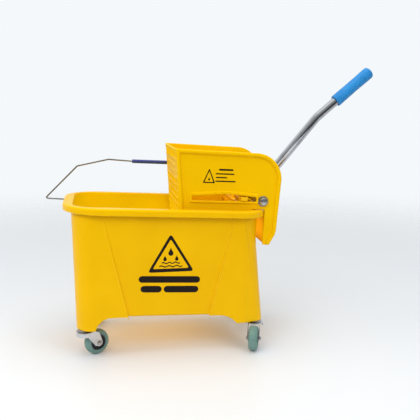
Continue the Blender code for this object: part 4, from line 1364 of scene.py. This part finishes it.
def build_world():
    """The camera sees an even pale backdrop; reflections see a studio with dark and bright bands."""
    world = bpy.data.worlds.new("studio")
    bpy.context.scene.world = world
    n = Nodes(world)
    n.tree.nodes.clear()
    direction = n.add("ShaderNodeSeparateXYZ").outputs
    n.link(n.add("ShaderNodeTexCoord").outputs["Generated"], direction["X"].node.inputs[0])
    ray = n.add("ShaderNodeLightPath").outputs

    def banded(bands, strength):
        """A backdrop whose brightness follows the height above the horizon."""
        ramp = n.add("ShaderNodeValToRGB")
        n.link(direction["Z"], ramp.inputs["Fac"])
        while len(ramp.color_ramp.elements) < len(bands):
            ramp.color_ramp.elements.new(0.5)
        for element, (position, level) in zip(ramp.color_ramp.elements, bands):
            element.position = position
            element.color = (level * 0.985, level * 0.995, level, 1.0)
        backdrop = n.add("ShaderNodeBackground")
        backdrop.inputs["Strength"].default_value = strength
        n.link(ramp.outputs["Color"], backdrop.inputs["Color"])
        return backdrop.outputs["Background"]

    def blended(*sources):
        mix = n.add("ShaderNodeMixShader")
        for source, socket in zip(sources, mix.inputs):
            n.link(source, socket)
        return mix.outputs["Shader"]

    even = n.add("ShaderNodeBackground")
    even.inputs["Color"].default_value = BACKDROP
    seen = even.outputs["Background"]
    behind = n.span(direction["Y"], -0.10, 0.35)        # 1 towards the white sheet, 0 towards the dark room
    studio = blended(behind, banded(ROOM_BANDS, 1.0), seen)
    lit = blended(ray["Is Glossy Ray"], banded(LIT_BANDS, 0.60), studio)
    out = n.add("ShaderNodeOutputWorld")
    n.link(blended(ray["Is Camera Ray"], lit, seen), out.inputs["Surface"])


def build_lights():
    area_light("key", (-1.3, -1.7, 1.8), (0, 0, 0.30), (1.5, 1.2), 21.0)
    area_light("left", (-1.9, -0.2, 1.1), (0, 0, 0.35), (1.2, 1.4), 10.0)
    area_light("right", (1.3, -1.7, 1.3), (0, 0, 0.35), (1.2, 1.4), 13.5)
    area_light("top", (0.0, -0.2, 2.3), (0, 0, 0.2), (2.0, 1.6), 20.0)
    # Small lights stand in for the light that comes through the thin yellow plastic.
    middle = BUCKET.translation
    area_light("glow_inside", (middle.x - 0.02, middle.y, 0.125), (middle.x - 0.02, middle.y, 1.0),
               (0.34, 0.16), 0.45, (0.36, 1.0, 0.08))
    area_light("glow_below", (middle.x, middle.y + 0.05, 0.088), (middle.x, middle.y + 0.05, 0.0),
               (0.32, 0.16), 0.10, (1.0, 0.52, 0.03))
    area_light("glow_basket", (0.035, middle.y - 0.045, 0.385), (0.035, middle.y + 0.10, 0.355),
               (0.10, 0.02), 0.065, (1.0, 0.85, 0.10))
    area_light("glow_skirt", (middle.x + 0.2205, middle.y, 0.285), (middle.x + 0.30, middle.y, 0.285),
               (0.16, 0.05), 0.018, (1.0, 0.92, 0.10))


def main():
    build_camera()
    build_prints(build_bucket(), build_housing())
    for build in (build_press, build_guide_shoes, build_yoke, build_tube, build_grip, build_bolt,
                  build_crank_pins, build_pivot, build_bail, build_casters, build_stage, build_world,
                  build_lights):
        build()
    bpy.context.scene.view_settings.view_transform = "Standard"
    bpy.context.view_layer.update()


main()
